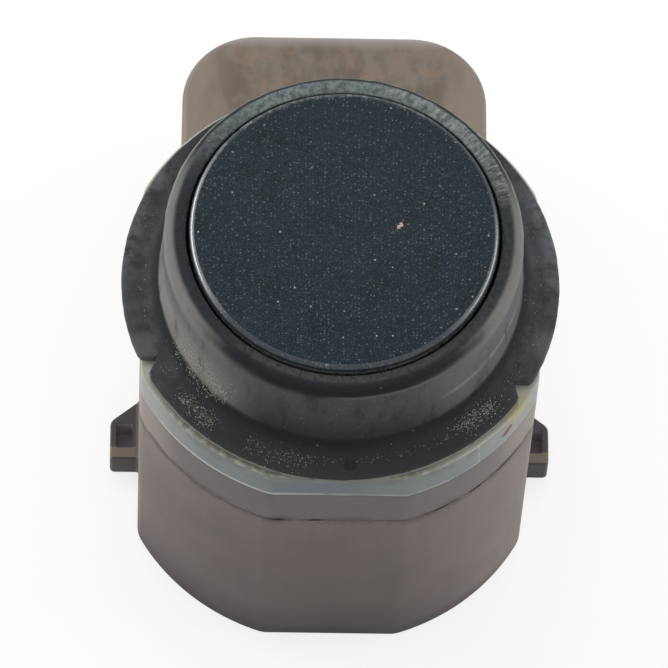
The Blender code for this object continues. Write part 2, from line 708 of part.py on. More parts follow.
def make_transformer():
    half = TRANSFORMER_BASE / 2
    x = -(COLUMN_GAP + half)
    y = -(POST_KEEP + half)
    centre = (x, y)
    outline = rectangle(x - half, y - half, x + half, y + half, TRANSFORMER_CORNER_R)
    base = slab("transformer_base", [outline], PARTS_TOP_Z - TRANSFORMER_BASE_THICK, PARTS_TOP_Z)
    finish_part(base, (0.03, 0.03, 0.03), 0.5)
    bottom = CORE_TOP_Z - CORE_HEIGHT
    upper = CORE_TOP_Z - CORE_FLANGE_THICK
    lower = bottom + CORE_FLANGE_THICK
    profile = [(0.0, CORE_TOP_Z), (CORE_FLANGE_R, CORE_TOP_Z), (CORE_FLANGE_R, upper), (CORE_HUB_R, upper),
               (CORE_HUB_R, lower), (CORE_FLANGE_R, lower), (CORE_FLANGE_R, bottom), (0.0, bottom)]
    core = turned("transformer_core", profile, False, SMALL_STEPS, centre=centre)
    finish_part(core, (0.06, 0.06, 0.065), 0.5)
    inner_r = CORE_HUB_R + SEAT_GAP
    outer_r = CORE_FLANGE_R - WINDING_MARGIN
    wire = [(inner_r, upper - SEAT_GAP), (outer_r, upper - SEAT_GAP), (outer_r, lower + SEAT_GAP),
            (inner_r, lower + SEAT_GAP)]
    winding = turned("transformer_winding", wire, True, SMALL_STEPS, centre=centre)
    finish_part(winding, (0.6, 0.25, 0.1), 0.35, 1.0)


def make_potting():
    outline = [plan(WALL + SEAT_GAP)]
    finish_part(slab("rear_potting", outline, POTTING_BOTTOM_Z, POTTING_TOP_Z), (0.02, 0.02, 0.022), 0.4)


def make_sensor():
    empty_scene()
    make_cup()
    make_cup_contents()
    make_ring()
    make_carrier_plate()
    make_front_frame()
    make_housing()
    make_pins()
    make_board()
    make_board_parts()
    make_transformer()
    make_potting()
    bpy.context.view_layer.update()


make_sensor()
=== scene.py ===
"""Looks of the parking sensor: fine surfaces, worn and dusty finishes, soft studio light and the camera.

Lengths are written in millimetres and built in metres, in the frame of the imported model: the origin is the
centre of the painted face, +Z points out of the face and +Y towards the plug socket.
"""

import random
from math import acos, asin, atan2, cos, hypot, pi, radians, sin, sqrt, tan

import bmesh
import bpy
from mathutils import Matrix, Vector, noise


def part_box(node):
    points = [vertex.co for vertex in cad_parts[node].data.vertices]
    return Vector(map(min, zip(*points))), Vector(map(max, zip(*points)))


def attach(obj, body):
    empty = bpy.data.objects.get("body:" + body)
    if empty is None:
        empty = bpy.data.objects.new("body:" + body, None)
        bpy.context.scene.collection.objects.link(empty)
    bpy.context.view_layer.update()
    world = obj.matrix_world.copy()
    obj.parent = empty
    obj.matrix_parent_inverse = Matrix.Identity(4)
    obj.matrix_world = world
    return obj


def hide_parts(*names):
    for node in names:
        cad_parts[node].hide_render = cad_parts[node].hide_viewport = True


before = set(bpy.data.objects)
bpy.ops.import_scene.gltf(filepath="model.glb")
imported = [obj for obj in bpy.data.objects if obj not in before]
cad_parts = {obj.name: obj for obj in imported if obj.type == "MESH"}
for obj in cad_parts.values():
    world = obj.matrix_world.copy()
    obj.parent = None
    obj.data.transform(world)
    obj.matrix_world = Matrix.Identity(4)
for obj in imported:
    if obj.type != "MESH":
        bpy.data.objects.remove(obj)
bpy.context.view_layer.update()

MM = 0.001
BODY = "root"


def top(node):
    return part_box(node)[1].z / MM


def bottom(node):
    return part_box(node)[0].z / MM


def reach(node, axis):
    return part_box(node)[1][axis] / MM


# Fineness
TURN_STEPS = 360
EDGE_STEPS = 6
CORNER_STEPS = 4
PLAN_ARC_STEPS = 20
HOLE_STEPS = 32

# Camera, as fitted to the photo
PHOTO_SIZE = 668
TARGET = Vector((-0.186, -0.663, -10.45))
CAMERA_DISTANCE = 376.1
CAMERA_AZIMUTH = radians(-3.705)
CAMERA_ELEVATION = radians(63.559)
CAMERA_ROLL = radians(4.156)
LENS = 397.25
SENSOR = 36.0

# Heights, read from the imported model
FACE_Z = top("transducer_cup")
CUP_BOTTOM_Z = bottom("transducer_cup")
RING_TOP_Z = top("decoupling_ring")
LIP_BOTTOM_Z = bottom("decoupling_ring")
PLATE_TOP_Z = top("carrier_plate")
PLATE_BOTTOM_Z = bottom("carrier_plate")
FRAME_TOP_Z = top("front_frame")
TONGUE_BOTTOM_Z = bottom("front_frame")
BODY_TOP_Z = top("housing")
REAR_Z = bottom("housing")

# Transducer cup
CUP_R = reach("transducer_cup", 0)
CUP_WALL = 1.1
CUP_EDGE_R = 0.32
MEMBRANE = 0.8
GROOVE_TOP_Z = -6.4
GROOVE_HEIGHT = 0.9
GROOVE_DEPTH = 0.3
CENTRE_R = 0.5

# Decoupling ring
FIT = 0.15
RING_BORE_R = CUP_R + FIT
RING_R = 9.0
RING_EDGE_R = 0.60
RING_LIP_R = 0.06
FOOT_R = 9.18
FOOT_FILLET = 0.80
FLANGE_R = 11.07
FLANGE_TOP_Z = -5.79
FLANGE_BOTTOM_Z = PLATE_TOP_Z + FIT
FLANGE_EDGE_R = 0.12
SKIRT_R = 8.89
LIP_REACH = 1.4
LIP_THICK = 0.8
NOTCH_DEPTH = 0.78
NOTCH_SPREAD = radians(61.1)
NOTCH_EAR_SLOPE = radians(26)
NOTCH_LOBE_SLOPE = radians(43)
NOTCH_ROUNDING = 0.09
RING_TURN = radians(-3.3)
WALL_TOP_Z = RING_TOP_Z - RING_EDGE_R
WALL_FOOT_Z = FLANGE_TOP_Z + FOOT_FILLET

# Housing plan
HALF_WIDTH = reach("carrier_plate", 0)
HALF_DEPTH = reach("carrier_plate", 1)
BODY_R = HALF_WIDTH + 1.26
PLAN_CORNER_R = 1.5
SEAT_BORE_R = 9.04
EDGE_BREAK = 0.10
SHARP_BREAK = 0.04
PALE_TOP_Z = FLANGE_BOTTOM_Z - 0.05
PALE_BOTTOM_Z = FRAME_TOP_Z + 0.01
SEAM_GAP = 0.20
FRAME_BOTTOM_Z = BODY_TOP_Z + SEAM_GAP
FRAME_FLOOR = 1.05
FLOOR_TOP_Z = FRAME_BOTTOM_Z + FRAME_FLOOR
WALL = 1.3
TONGUE_INSET = WALL + FIT
TONGUE_THICK = 0.8
LEDGE_WIDTH = 1.0
LEDGE_TOP_Z = TONGUE_BOTTOM_Z - FIT
LEDGE_BOTTOM_Z = LEDGE_TOP_Z - 1.2
REAR_EDGE_R = 0.15
POST_HOLE_R = 0.47
POST_SPREAD = 2.0

# Plug socket
SHROUD_TOP_Z = -15.445
SHROUD_EDGE_R = 0.35
SHROUD_RIM_R = 0.10
SOCKET_TOP_Z = -18.055
SOCKET_HALF_WIDTH = 6.80
SOCKET_SPAN = 7.24
SOCKET_NEAR_Y = HALF_DEPTH - WALL + 1.5
SOCKET_FAR_Y = SOCKET_NEAR_Y + SOCKET_SPAN
SOCKET_CORNER_R = 2.7
SHROUD_WALL = 1.2
SHROUD_FAR_Y = SOCKET_FAR_Y + SHROUD_WALL
SHROUD_HALF_WIDTH = SOCKET_HALF_WIDTH + SHROUD_WALL
SHROUD_CORNER_R = SOCKET_CORNER_R + SHROUD_WALL
LATCH_HALF_WIDTH = 2.0
LATCH_REACH = 0.8
LATCH_LOW_Z = REAR_Z + 1.8
LATCH_HIGH_Z = LATCH_LOW_Z + 1.6
KEY_RIB_WIDTH = 0.8
KEY_RIB_REACH = 0.7
KEY_RIB_RECESS = 1.0
PIN_ROW_Y = (SOCKET_NEAR_Y + SOCKET_FAR_Y) / 2
PIN_PITCH = 3.4
PIN_SLOT = (1.04, 0.88)
PIN_SLOT_DEPTH = 1.3

# Side lugs
LUG_TOP_Z = REAR_Z + 1.76
LUG_OUTER_X = reach("housing", 0)
LUG_FRONT_Y = -1.60
LUG_REAR_Y = 1.80
LUG_CHAMFER = 1.25
LUG_CORNER_R = 0.25
LUG_SHOULDER_R = 0.55
LUG_FRONT_FILLET = 0.20
LUG_REAR_FILLET = 0.50
LUG_EDGE_R = 0.10
LUG_ROOT = 1.1
LUG_SINK = 0.05
POCKET_WALL = 0.32
POCKET_FRONT_Y = -0.98
POCKET_REAR_Y = 0.45
POCKET_FLOOR_Z = REAR_Z + 0.35
POCKET_CORNER_R = 0.12
CUT_MARGIN = 1.0

# Light
WORLD_LIGHT = 0.50
FLOOR_RADIUS = 0.6
FLOOR_COLOUR = 0.36
FLOOR_GLOW = 0.74

# Marks placed where the photo shows them, in its pixels
FACE_CHIP_PX = (400, 225)
FACE_TRAIL_PX = (393, 232)
STAIN_PX = (519, 411)
RUST_PX = (507, 431)
SCRATCH_PX = (479, 457)
FRONT_GRIT_PX = ((250, 445), (300, 462))
FLANGE_SPOT_PX = (350, 465)
GREASE_PX = (161, 215)
EAR_LEFT_PX = (143, 345)
EAR_RIGHT_PX = (544, 345)
WALL_GRIT_PX = ((182, 342), (203, 378), (226, 397))
LEFT_GRIT_PX = ((181, 395), (212, 427))
RIGHT_GRIT_PX = ((462, 428), (494, 402))
BRIGHT_GRAINS_PX = ((391, 444), (488, 414), (476, 415))


# Camera

def camera_axes():
    """The camera's right, up and backward directions."""
    back = Vector((
        sin(CAMERA_AZIMUTH) * cos(CAMERA_ELEVATION),
        -cos(CAMERA_AZIMUTH) * cos(CAMERA_ELEVATION),
        sin(CAMERA_ELEVATION),
    ))
    level_right = Vector((cos(CAMERA_AZIMUTH), sin(CAMERA_AZIMUTH), 0.0))
    rise = back.cross(level_right)
    right = level_right * cos(CAMERA_ROLL) + rise * sin(CAMERA_ROLL)
    return right, back.cross(right), back


def add_camera():
    right, up, back = camera_axes()
    data = bpy.data.cameras.new("camera")
    data.sensor_width = SENSOR
    data.lens = LENS
    data.clip_start = 0.01
    data.clip_end = 5.0
    item = bpy.data.objects.new("camera", data)
    bpy.context.scene.collection.objects.link(item)
    place = Matrix((right, up, back)).transposed().to_4x4()
    place.translation = (TARGET + back * CAMERA_DISTANCE) * MM
    item.matrix_world = place
    bpy.context.scene.camera = item


def seen_at(pixel, height):
    """The point at a height that the camera sees at a pixel of the photo, in millimetres."""
    right, up, back = camera_axes()
    scale = SENSOR / LENS / PHOTO_SIZE
    across = (pixel[0] - PHOTO_SIZE / 2) * scale
    rise = (PHOTO_SIZE / 2 - pixel[1]) * scale
    eye = TARGET + back * CAMERA_DISTANCE
    ray = right * across + up * rise - back
    return eye + ray * ((height - eye.z) / ray.z)


def seen_on_plate(pixel):
    """The point of the pale plate's side that the camera sees at a pixel."""
    z = PALE_TOP_Z
    while z > PALE_BOTTOM_Z:
        point = seen_at(pixel, z)
        if abs(point.x) < HALF_WIDTH and abs(point.y) < HALF_DEPTH and hypot(point.x, point.y) < BODY_R:
            return point
        z -= 0.02
    return seen_at(pixel, PALE_BOTTOM_Z)


# Light and floor

def add_lamp(name, direction, distance, width, height, radiance):
    """A soft rectangular lamp that looks at the object from a direction."""
    data = bpy.data.lights.new(name, "AREA")
    data.shape = "RECTANGLE"
    data.size = width
    data.size_y = height
    data.energy = radiance * pi * width * height
    item = bpy.data.objects.new(name, data)
    bpy.context.scene.collection.objects.link(item)
    towards = Vector(direction).normalized()
    item.location = TARGET * MM + towards * distance
    item.rotation_euler = towards.to_track_quat("Z", "Y").to_euler()


def add_light():
    add_lamp("left_lamp", (-0.89, 0.37, 0.25), 0.34, 0.25, 0.042, 15.0)
    add_lamp("right_lamp", (0.944, 0.147, 0.294), 0.34, 0.24, 0.038, 13.0)
    add_lamp("top_lamp", (-0.1, 0.75, 1.0), 0.6, 0.5, 0.35, 1.1)


def seen_rays(tree):
    """1 on rays that show the backdrop: straight to the camera, in a reflection or through glass."""
    path = tree.nodes.new("ShaderNodeLightPath")
    total = path.outputs["Is Camera Ray"]
    for name in ("Is Glossy Ray", "Is Transmission Ray"):
        either = tree.nodes.new("ShaderNodeMath")
        either.operation = "MAXIMUM"
        tree.links.new(total, either.inputs[0])
        tree.links.new(path.outputs[name], either.inputs[1])
        total = either.outputs[0]
    return total


def add_world():
    world = bpy.data.worlds.new("studio")
    bpy.context.scene.world = world
    world.use_nodes = True
    tree = world.node_tree
    tree.nodes.clear()
    light = tree.nodes.new("ShaderNodeBackground")
    light.inputs["Strength"].default_value = WORLD_LIGHT
    white = tree.nodes.new("ShaderNodeBackground")
    for background in (light, white):
        background.inputs["Color"].default_value = (1.0, 1.0, 1.0, 1.0)
    choice = tree.nodes.new("ShaderNodeMixShader")
    output = tree.nodes.new("ShaderNodeOutputWorld")
    tree.links.new(seen_rays(tree), choice.inputs[0])
    tree.links.new(light.outputs[0], choice.inputs[1])
    tree.links.new(white.outputs[0], choice.inputs[2])
    tree.links.new(choice.outputs[0], output.inputs["Surface"])


def add_floor():
    """A floor that reads white where nothing shades it, and keeps the object's soft shadow."""
    mesh = bpy.data.meshes.new("floor")
    rim = [(FLOOR_RADIUS * cos(a), FLOOR_RADIUS * sin(a), REAR_Z * MM) for a in turns(TURN_STEPS)]
    mesh.from_pydata(rim, [], [range(TURN_STEPS)])
    material = bpy.data.materials.new("floor")
    material.use_nodes = True
    tree = material.node_tree
    tree.nodes.clear()
    matt = tree.nodes.new("ShaderNodeBsdfDiffuse")
    matt.inputs["Color"].default_value = (FLOOR_COLOUR, FLOOR_COLOUR, FLOOR_COLOUR, 1.0)
    glow = tree.nodes.new("ShaderNodeEmission")
    amount = tree.nodes.new("ShaderNodeMath")
    amount.operation = "MULTIPLY"
    amount.inputs[1].default_value = FLOOR_GLOW
    both = tree.nodes.new("ShaderNodeAddShader")
    output = tree.nodes.new("ShaderNodeOutputMaterial")
    tree.links.new(seen_rays(tree), amount.inputs[0])
    tree.links.new(amount.outputs[0], glow.inputs["Strength"])
    tree.links.new(matt.outputs[0], both.inputs[0])
    tree.links.new(glow.outputs[0], both.inputs[1])
    tree.links.new(both.outputs[0], output.inputs["Surface"])
    mesh.materials.append(material)
    floor = bpy.data.objects.new("floor", mesh)
    bpy.context.scene.collection.objects.link(floor)


# Outlines, as lists of (x, y) points in millimetres

def turns(steps):
    """Evenly spaced angles round a circle."""
    return [2 * pi * i / steps for i in range(steps)]


def quarter(steps):
    """Angles from 0 to a right angle, both ends included."""
    return [pi / 2 * i / steps for i in range(steps + 1)]


def arc(x, y, radius, start, end, steps):
    angles = [start + (end - start) * i / steps for i in range(steps + 1)]
    return [(x + radius * cos(a), y + radius * sin(a)) for a in angles]


def rounded(corners, steps=CORNER_STEPS):
    """A closed outline through (x, y, radius) corners, with as many points for every size."""
    outline = []
    for i, (x, y, radius) in enumerate(corners):
        if radius == 0.0:
            outline.append((x, y))
            continue
        before = corners[i - 1]
        after = corners[(i + 1) % len(corners)]
        back = atan2(before[1] - y, before[0] - x)
        ahead = atan2(after[1] - y, after[0] - x)
        opening = (ahead - back + pi) % (2 * pi) - pi
        away = radius / sin(abs(opening) / 2)
        middle = back + opening / 2
        side = 1.0 if opening > 0 else -1.0
        start = back - side * pi / 2
        sweep = -side * (pi - abs(opening))
        outline += arc(x + away * cos(middle), y + away * sin(middle), radius, start, start + sweep, steps)
    return outline


def plan(inset=0.0):
    """The housing's outline, moved in by inset: four arcs with a flat between each two."""
    radius = BODY_R - inset
    corner_r = max(PLAN_CORNER_R - inset, 0.02)
    low = acos((HALF_WIDTH - inset) / radius)
    high = asin((HALF_DEPTH - inset) / radius)
    corners = []
    for start, end in ((low, high), (pi - high, pi - low), (pi + low, pi + high), (-high, -low)):
        points = arc(0.0, 0.0, radius, start, end, PLAN_ARC_STEPS)
        ends = (points[0], points[-1])
        corners += [(x, y, corner_r if (x, y) in ends else 0.0) for x, y in points]
    return rounded(corners)


def circle_under_plan(radius):
    """A circle with one point under each point of the housing's outline."""
    return [(radius * cos(a), radius * sin(a)) for a in (atan2(y, x) for x, y in plan())]


def circle(radius, steps, centre=(0.0, 0.0)):
    return [(centre[0] + radius * cos(a), centre[1] + radius * sin(a)) for a in turns(steps)]


def rectangle(low_x, low_y, high_x, high_y, radius):
    corners = ((low_x, low_y), (high_x, low_y), (high_x, high_y), (low_x, high_y))
    return rounded([(x, y, radius) for x, y in corners])


def moved_in(outline, inset):
    """An outline with each point moved to its inner side."""
    count = len(outline)
    area = sum(x * outline[(i + 1) % count][1] - outline[(i + 1) % count][0] * y
               for i, (x, y) in enumerate(outline))
    side = 1.0 if area > 0 else -1.0
    moved = []
    for i, (x, y) in enumerate(outline):
        before = Vector(outline[i - 1])
        after = Vector(outline[(i + 1) % count])
        along = (after - before).normalized()
        moved.append((x - side * along.y * inset, y + side * along.x * inset))
    return moved


def upper_edge(height, radius, steps=EDGE_STEPS):
    """(inset, z) pairs over a rounded upper edge, from the flat to the side."""
    return [(radius * (1 - sin(a)), height - radius * (1 - cos(a))) for a in quarter(steps)]


def lower_edge(height, radius, steps=EDGE_STEPS):
    """(inset, z) pairs under a rounded lower edge, from the side to the flat."""
    return [(radius * (1 - sin(a)), height + radius * (1 - cos(a))) for a in reversed(quarter(steps))]


def level(outline, z):
    """An outline as points in space at one height."""
    return [(x, y, z) for x, y in outline]


def polar(radius, turn, z):
    return Vector((radius * cos(turn), radius * sin(turn), z))


# Meshes

def raw_mesh(name, points, faces):
    """A mesh from points in millimetres, with its faces turned outwards."""
    mesh = bpy.data.meshes.new(name)
    mesh.from_pydata([Vector(point) * MM for point in points], [], faces)
    shape = bmesh.new()
    shape.from_mesh(mesh)
    bmesh.ops.recalc_face_normals(shape, faces=shape.faces)
    shape.to_mesh(mesh)
    shape.free()
    return mesh


def loft(name, loops, closed=False):
    """Skin equal loops one after another. The ends are capped, or joined to each other if closed."""
    count = len(loops[0])
    points = [point for loop in loops for point in loop]
    last = len(loops) if closed else len(loops) - 1
    faces = []
    for k in range(last):
        near = k * count
        far = (k + 1) % len(loops) * count
        for i in range(count):
            j = (i + 1) % count
            faces.append((near + i, near + j, far + j, far + i))
    if not closed:
        faces.append(range(count))
        faces.append(range(last * count, last * count + count))
    return raw_mesh(name, points, faces)


def prism(name, outline, low, high):
    return loft(name, [level(outline, low), level(outline, high)])


def add_piece(mesh, finish, replaced=None, sharp=32.0):
    """Show a mesh as one of the object's pieces, with its finish."""
    item = bpy.data.objects.new(mesh.name, mesh)
    bpy.context.scene.collection.objects.link(item)
    mesh.materials.clear()
    mesh.materials.append(finish)
    mesh.shade_smooth()
    mesh.set_sharp_from_angle(angle=radians(sharp))
    weighted = item.modifiers.new("Flat faces", "WEIGHTED_NORMAL")
    weighted.keep_sharp = True
    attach(item, BODY)
    if replaced:
        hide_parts(replaced)
    return item


def carved(mesh, steps):
    """The mesh after each (operation, other mesh) of steps in turn."""
    name = mesh.name
    base = bpy.data.objects.new(name + "_base", mesh)
    bpy.context.scene.collection.objects.link(base)
    tools = []
    for operation, other in steps:
        tool = bpy.data.objects.new("tool", other)
        bpy.context.scene.collection.objects.link(tool)
        boolean = base.modifiers.new("Step", "BOOLEAN")
        boolean.operation = operation
        boolean.solver = "EXACT"
        boolean.object = tool
        tools.append(tool)
    bpy.context.view_layer.update()
    result = bpy.data.meshes.new_from_object(base.evaluated_get(bpy.context.evaluated_depsgraph_get()))
    for item in (base, *tools):
        bpy.data.objects.remove(item, do_unlink=True)
    mesh.name = name + "_before"
    result.name = name
    return result


def weather(mesh, depth, size, chosen):
    """Move chosen points a little along their normals, so that a moulded surface isn't perfect."""
    for vertex in mesh.vertices:
        place = vertex.co / MM
        if chosen(place):
            vertex.co += vertex.normal * noise.fractal(place / size, 0.6, 2.0, 4) * depth * MM


# Materials

class Finish:
    """A material, with short ways to add the nodes that its colour, roughness and bump are made from."""

    def __init__(self, name, roughness=0.5, metallic=0.0, specular=0.5):
        self.material = bpy.data.materials.new(name)
        self.material.use_nodes = True
        self.tree = self.material.node_tree
        self.shader = self.tree.nodes["Principled BSDF"]
        self.shader.inputs["Roughness"].default_value = roughness
        self.shader.inputs["Metallic"].default_value = metallic
        self.shader.inputs["Specular IOR Level"].default_value = specular
        coordinates = self.tree.nodes.new("ShaderNodeTexCoord")
        self.place = self.vector("SCALE", coordinates.outputs["Object"], scale=1 / MM)
        parts = self.tree.nodes.new("ShaderNodeSeparateXYZ")
        self.tree.links.new(self.place, parts.inputs[0])
        self.x, self.y, self.z = parts.outputs
        self.flat = self.vector("MULTIPLY", self.place, (1.0, 1.0, 0.0))
        self.radius = self.vector("LENGTH", self.flat)
        self.unit = self.vector("NORMALIZE", self.flat)
        self.base = (0.0, 0.0, 0.0)

    def feed(self, socket, value):
        """Give a socket a link, a number or a colour."""
        if isinstance(value, bpy.types.NodeSocket):
            self.tree.links.new(value, socket)
        elif isinstance(value, (tuple, list, Vector)):
            socket.default_value = (*value, 1.0)[:len(socket.default_value)]
        else:
            socket.default_value = value

    def vector(self, operation, first, second=None, scale=None):
        node = self.tree.nodes.new("ShaderNodeVectorMath")
        node.operation = operation
        self.feed(node.inputs[0], first)
        if second is not None:
            self.feed(node.inputs[1], second)
        if scale is not None:
            self.feed(node.inputs["Scale"], scale)
        return node.outputs["Value" if operation in ("DISTANCE", "LENGTH", "DOT_PRODUCT") else "Vector"]

    def math(self, operation, first, second=0.0):
        node = self.tree.nodes.new("ShaderNodeMath")
        node.operation = operation
        self.feed(node.inputs[0], first)
        self.feed(node.inputs[1], second)
        return node.outputs[0]

    def times(self, *values):
        total = values[0]
        for value in values[1:]:
            total = self.math("MULTIPLY", total, value)
        return total

    def either(self, *values):
        total = values[0]
        for value in values[1:]:
            total = self.math("MAXIMUM", total, value)
        return total

    def between(self, value, low, high):
        """0 below low and 1 above high, smooth between them. It falls instead if low is above high."""
        node = self.tree.nodes.new("ShaderNodeMapRange")
        node.interpolation_type = "SMOOTHSTEP"
        falling = low > high
        self.feed(node.inputs["Value"], value)
        node.inputs["From Min"].default_value = min(low, high)
        node.inputs["From Max"].default_value = max(low, high)
        node.inputs["To Min"].default_value = 1.0 if falling else 0.0
        node.inputs["To Max"].default_value = 0.0 if falling else 1.0
        return node.outputs["Result"]

    def band(self, value, low, high, soft):
        """1 from low to high, falling to 0 within soft on both sides."""
        return self.times(self.between(value, low - soft, low), self.between(value, high + soft, high))

    def noise(self, size, detail=4.0, roughness=0.55, stretch=(1.0, 1.0, 1.0), shift=0.0, source=None):
        """Cloudy variation about 0.5, with features of about size millimetres."""
        node = self.tree.nodes.new("ShaderNodeTexNoise")
        node.inputs["Scale"].default_value = 1.0 / size
        node.inputs["Detail"].default_value = detail
        node.inputs["Roughness"].default_value = roughness
        squeezed = self.vector("DIVIDE", self.place if source is None else source, stretch)
        self.feed(node.inputs["Vector"], self.vector("ADD", squeezed, (shift, shift, shift)))
        return node.outputs["Fac"]

    def cloud(self, size, low, high, **more):
        """Patches: noise with its contrast raised."""
        return self.between(self.noise(size, **more), low, high)

    def specks(self, size, share, radius=0.3, shift=0.0, flat=False):
        """Bright inside small round specks of differing strength, one in a share of the cells of a size."""
        node = self.tree.nodes.new("ShaderNodeTexVoronoi")
        node.voronoi_dimensions = "2D" if flat else "3D"
        node.inputs["Scale"].default_value = 1.0 / size
        self.feed(node.inputs["Vector"], self.vector("ADD", self.place, (shift, shift, shift)))
        parts = self.tree.nodes.new("ShaderNodeSeparateXYZ")
        self.tree.links.new(node.outputs["Color"], parts.inputs[0])
        chosen = self.math("LESS_THAN", parts.outputs[0], share)
        inside = self.between(node.outputs["Distance"], radius, radius * 0.5)
        return self.times(chosen, inside, self.between(parts.outputs[1], -0.3, 1.0))

    def near(self, point, radius, inner=0.0):
        """1 at a point, falling to 0 at a radius from it."""
        return self.between(self.vector("DISTANCE", self.place, tuple(point)), radius, inner)

    def facing(self, bearing, wide, core=0.0):
        """1 where a point lies at a bearing from the axis, in degrees, falling to 0 at wide from it."""
        towards = (cos(radians(bearing)), sin(radians(bearing)), 0.0)
        along = self.vector("DOT_PRODUCT", self.unit, towards)
        return self.between(along, cos(radians(wide)), cos(radians(core)))

    def unrolled(self, across):
        """Coordinates that run round the axis and out from it, for strokes across the ring."""
        turn = self.math("MULTIPLY", self.math("ARCTAN2", self.y, self.x), RING_R)
        node = self.tree.nodes.new("ShaderNodeCombineXYZ")
        self.feed(node.inputs[0], turn)
        self.feed(node.inputs[1], self.math("MULTIPLY", self.radius, across))
        return node.outputs[0]

    def mix(self, factor, first, second):
        node = self.tree.nodes.new("ShaderNodeMix")
        node.data_type = "RGBA"
        self.feed(node.inputs[0], factor)
        self.feed(node.inputs[6], first)
        self.feed(node.inputs[7], second)
        return node.outputs[2]

    def lay(self, colour, *factors):
        """Lay a colour over what is there so far, by the product of factors."""
        self.base = self.mix(self.times(*factors), self.base, colour)

    def done(self, grain, rough, height=None, depth=0.0, edge_radius=0.0):
        """Set the colour, vary the roughness by grain, and raise the surface by height times depth."""
        self.feed(self.shader.inputs["Base Color"], self.base)
        node = self.tree.nodes.new("ShaderNodeMapRange")
        self.feed(node.inputs["Value"], grain)
        node.inputs["To Min"].default_value, node.inputs["To Max"].default_value = rough
        self.feed(self.shader.inputs["Roughness"], node.outputs["Result"])
        bump = self.tree.nodes.new("ShaderNodeBump")
        bump.inputs["Distance"].default_value = depth * MM
        self.feed(bump.inputs["Height"], grain if height is None else height)
        if edge_radius:
            soft = self.tree.nodes.new("ShaderNodeBevel")
            soft.samples = 4
            soft.inputs["Radius"].default_value = edge_radius * MM
            self.tree.links.new(soft.outputs["Normal"], bump.inputs["Normal"])
        self.feed(self.shader.inputs["Normal"], bump.outputs["Normal"])
        return self.material


def face_finish():
    """Dark blue metallic paint with fine flecks, a few pale grains and a chipped far edge."""
    f = Finish("face_paint", specular=0.08)
    bright = f.either(f.times(f.facing(-178, 42, 20), 0.72), f.times(f.facing(-18, 34, 14), 0.32))
    rounding = f.between(f.z, -0.004, -0.020)
    f.feed(f.shader.inputs["Coat Weight"], f.times(rounding, f.math("ADD", bright, 0.26)))
    f.shader.inputs["Coat Roughness"].default_value = 0.30
    f.shader.inputs["Coat IOR"].default_value = 2.4
    f.base = f.mix(f.noise(4.0, 3), (0.015, 0.025, 0.035), (0.020, 0.031, 0.041))
    f.lay((0.011, 0.020, 0.016), f.cloud(1.6, 0.50, 0.68, shift=7.0), 0.5)
    fine = f.specks(0.09, 0.55, 0.44, flat=True)
    nearer = f.between(f.y, 8.5, 3.0)
    f.lay((0.068, 0.090, 0.108), fine, f.math("ADD", f.times(nearer, 0.45), 0.45))
    f.lay((0.17, 0.20, 0.215), f.specks(0.19, 0.28, 0.26, 3.1, True), 0.85)
    f.lay((0.45, 0.48, 0.47), f.specks(0.80, 0.12, 0.075, 9.7, True))
    smear = f.cloud(1.1, 0.52, 0.75, roughness=0.7, stretch=(3.0, 0.6, 1.0), shift=4.0)
    f.lay((0.06, 0.07, 0.075), smear, f.near((-4.6, -5.0, 0.0), 2.4, 0.5), 0.35)
    rim = f.between(f.radius, CUP_R - CUP_EDGE_R - 0.10, CUP_R - 0.10)
    chipped = f.cloud(0.30, 0.47, 0.62, roughness=0.7)
    f.lay((0.24, 0.25, 0.24), rim, chipped, f.facing(104, 60, 25), 0.85)
    flecks = f.either(fine, f.noise(0.10, 2))
    return f.done(f.noise(0.5), (0.16, 0.30), flecks, 0.005)


def cup_side_finish():
    """The cup's dark side, which shows only above the ring."""
    f = Finish("cup_side", specular=0.25)
    f.base = f.mix(f.noise(1.5), (0.014, 0.018, 0.022), (0.022, 0.027, 0.033))
    f.lay((0.13, 0.14, 0.125), f.between(f.z, -0.32, -0.44), f.facing(-92, 55, 20), f.cloud(0.25, 0.35, 0.6))
    return f.done(f.noise(0.3), (0.5, 0.7), depth=0.005)


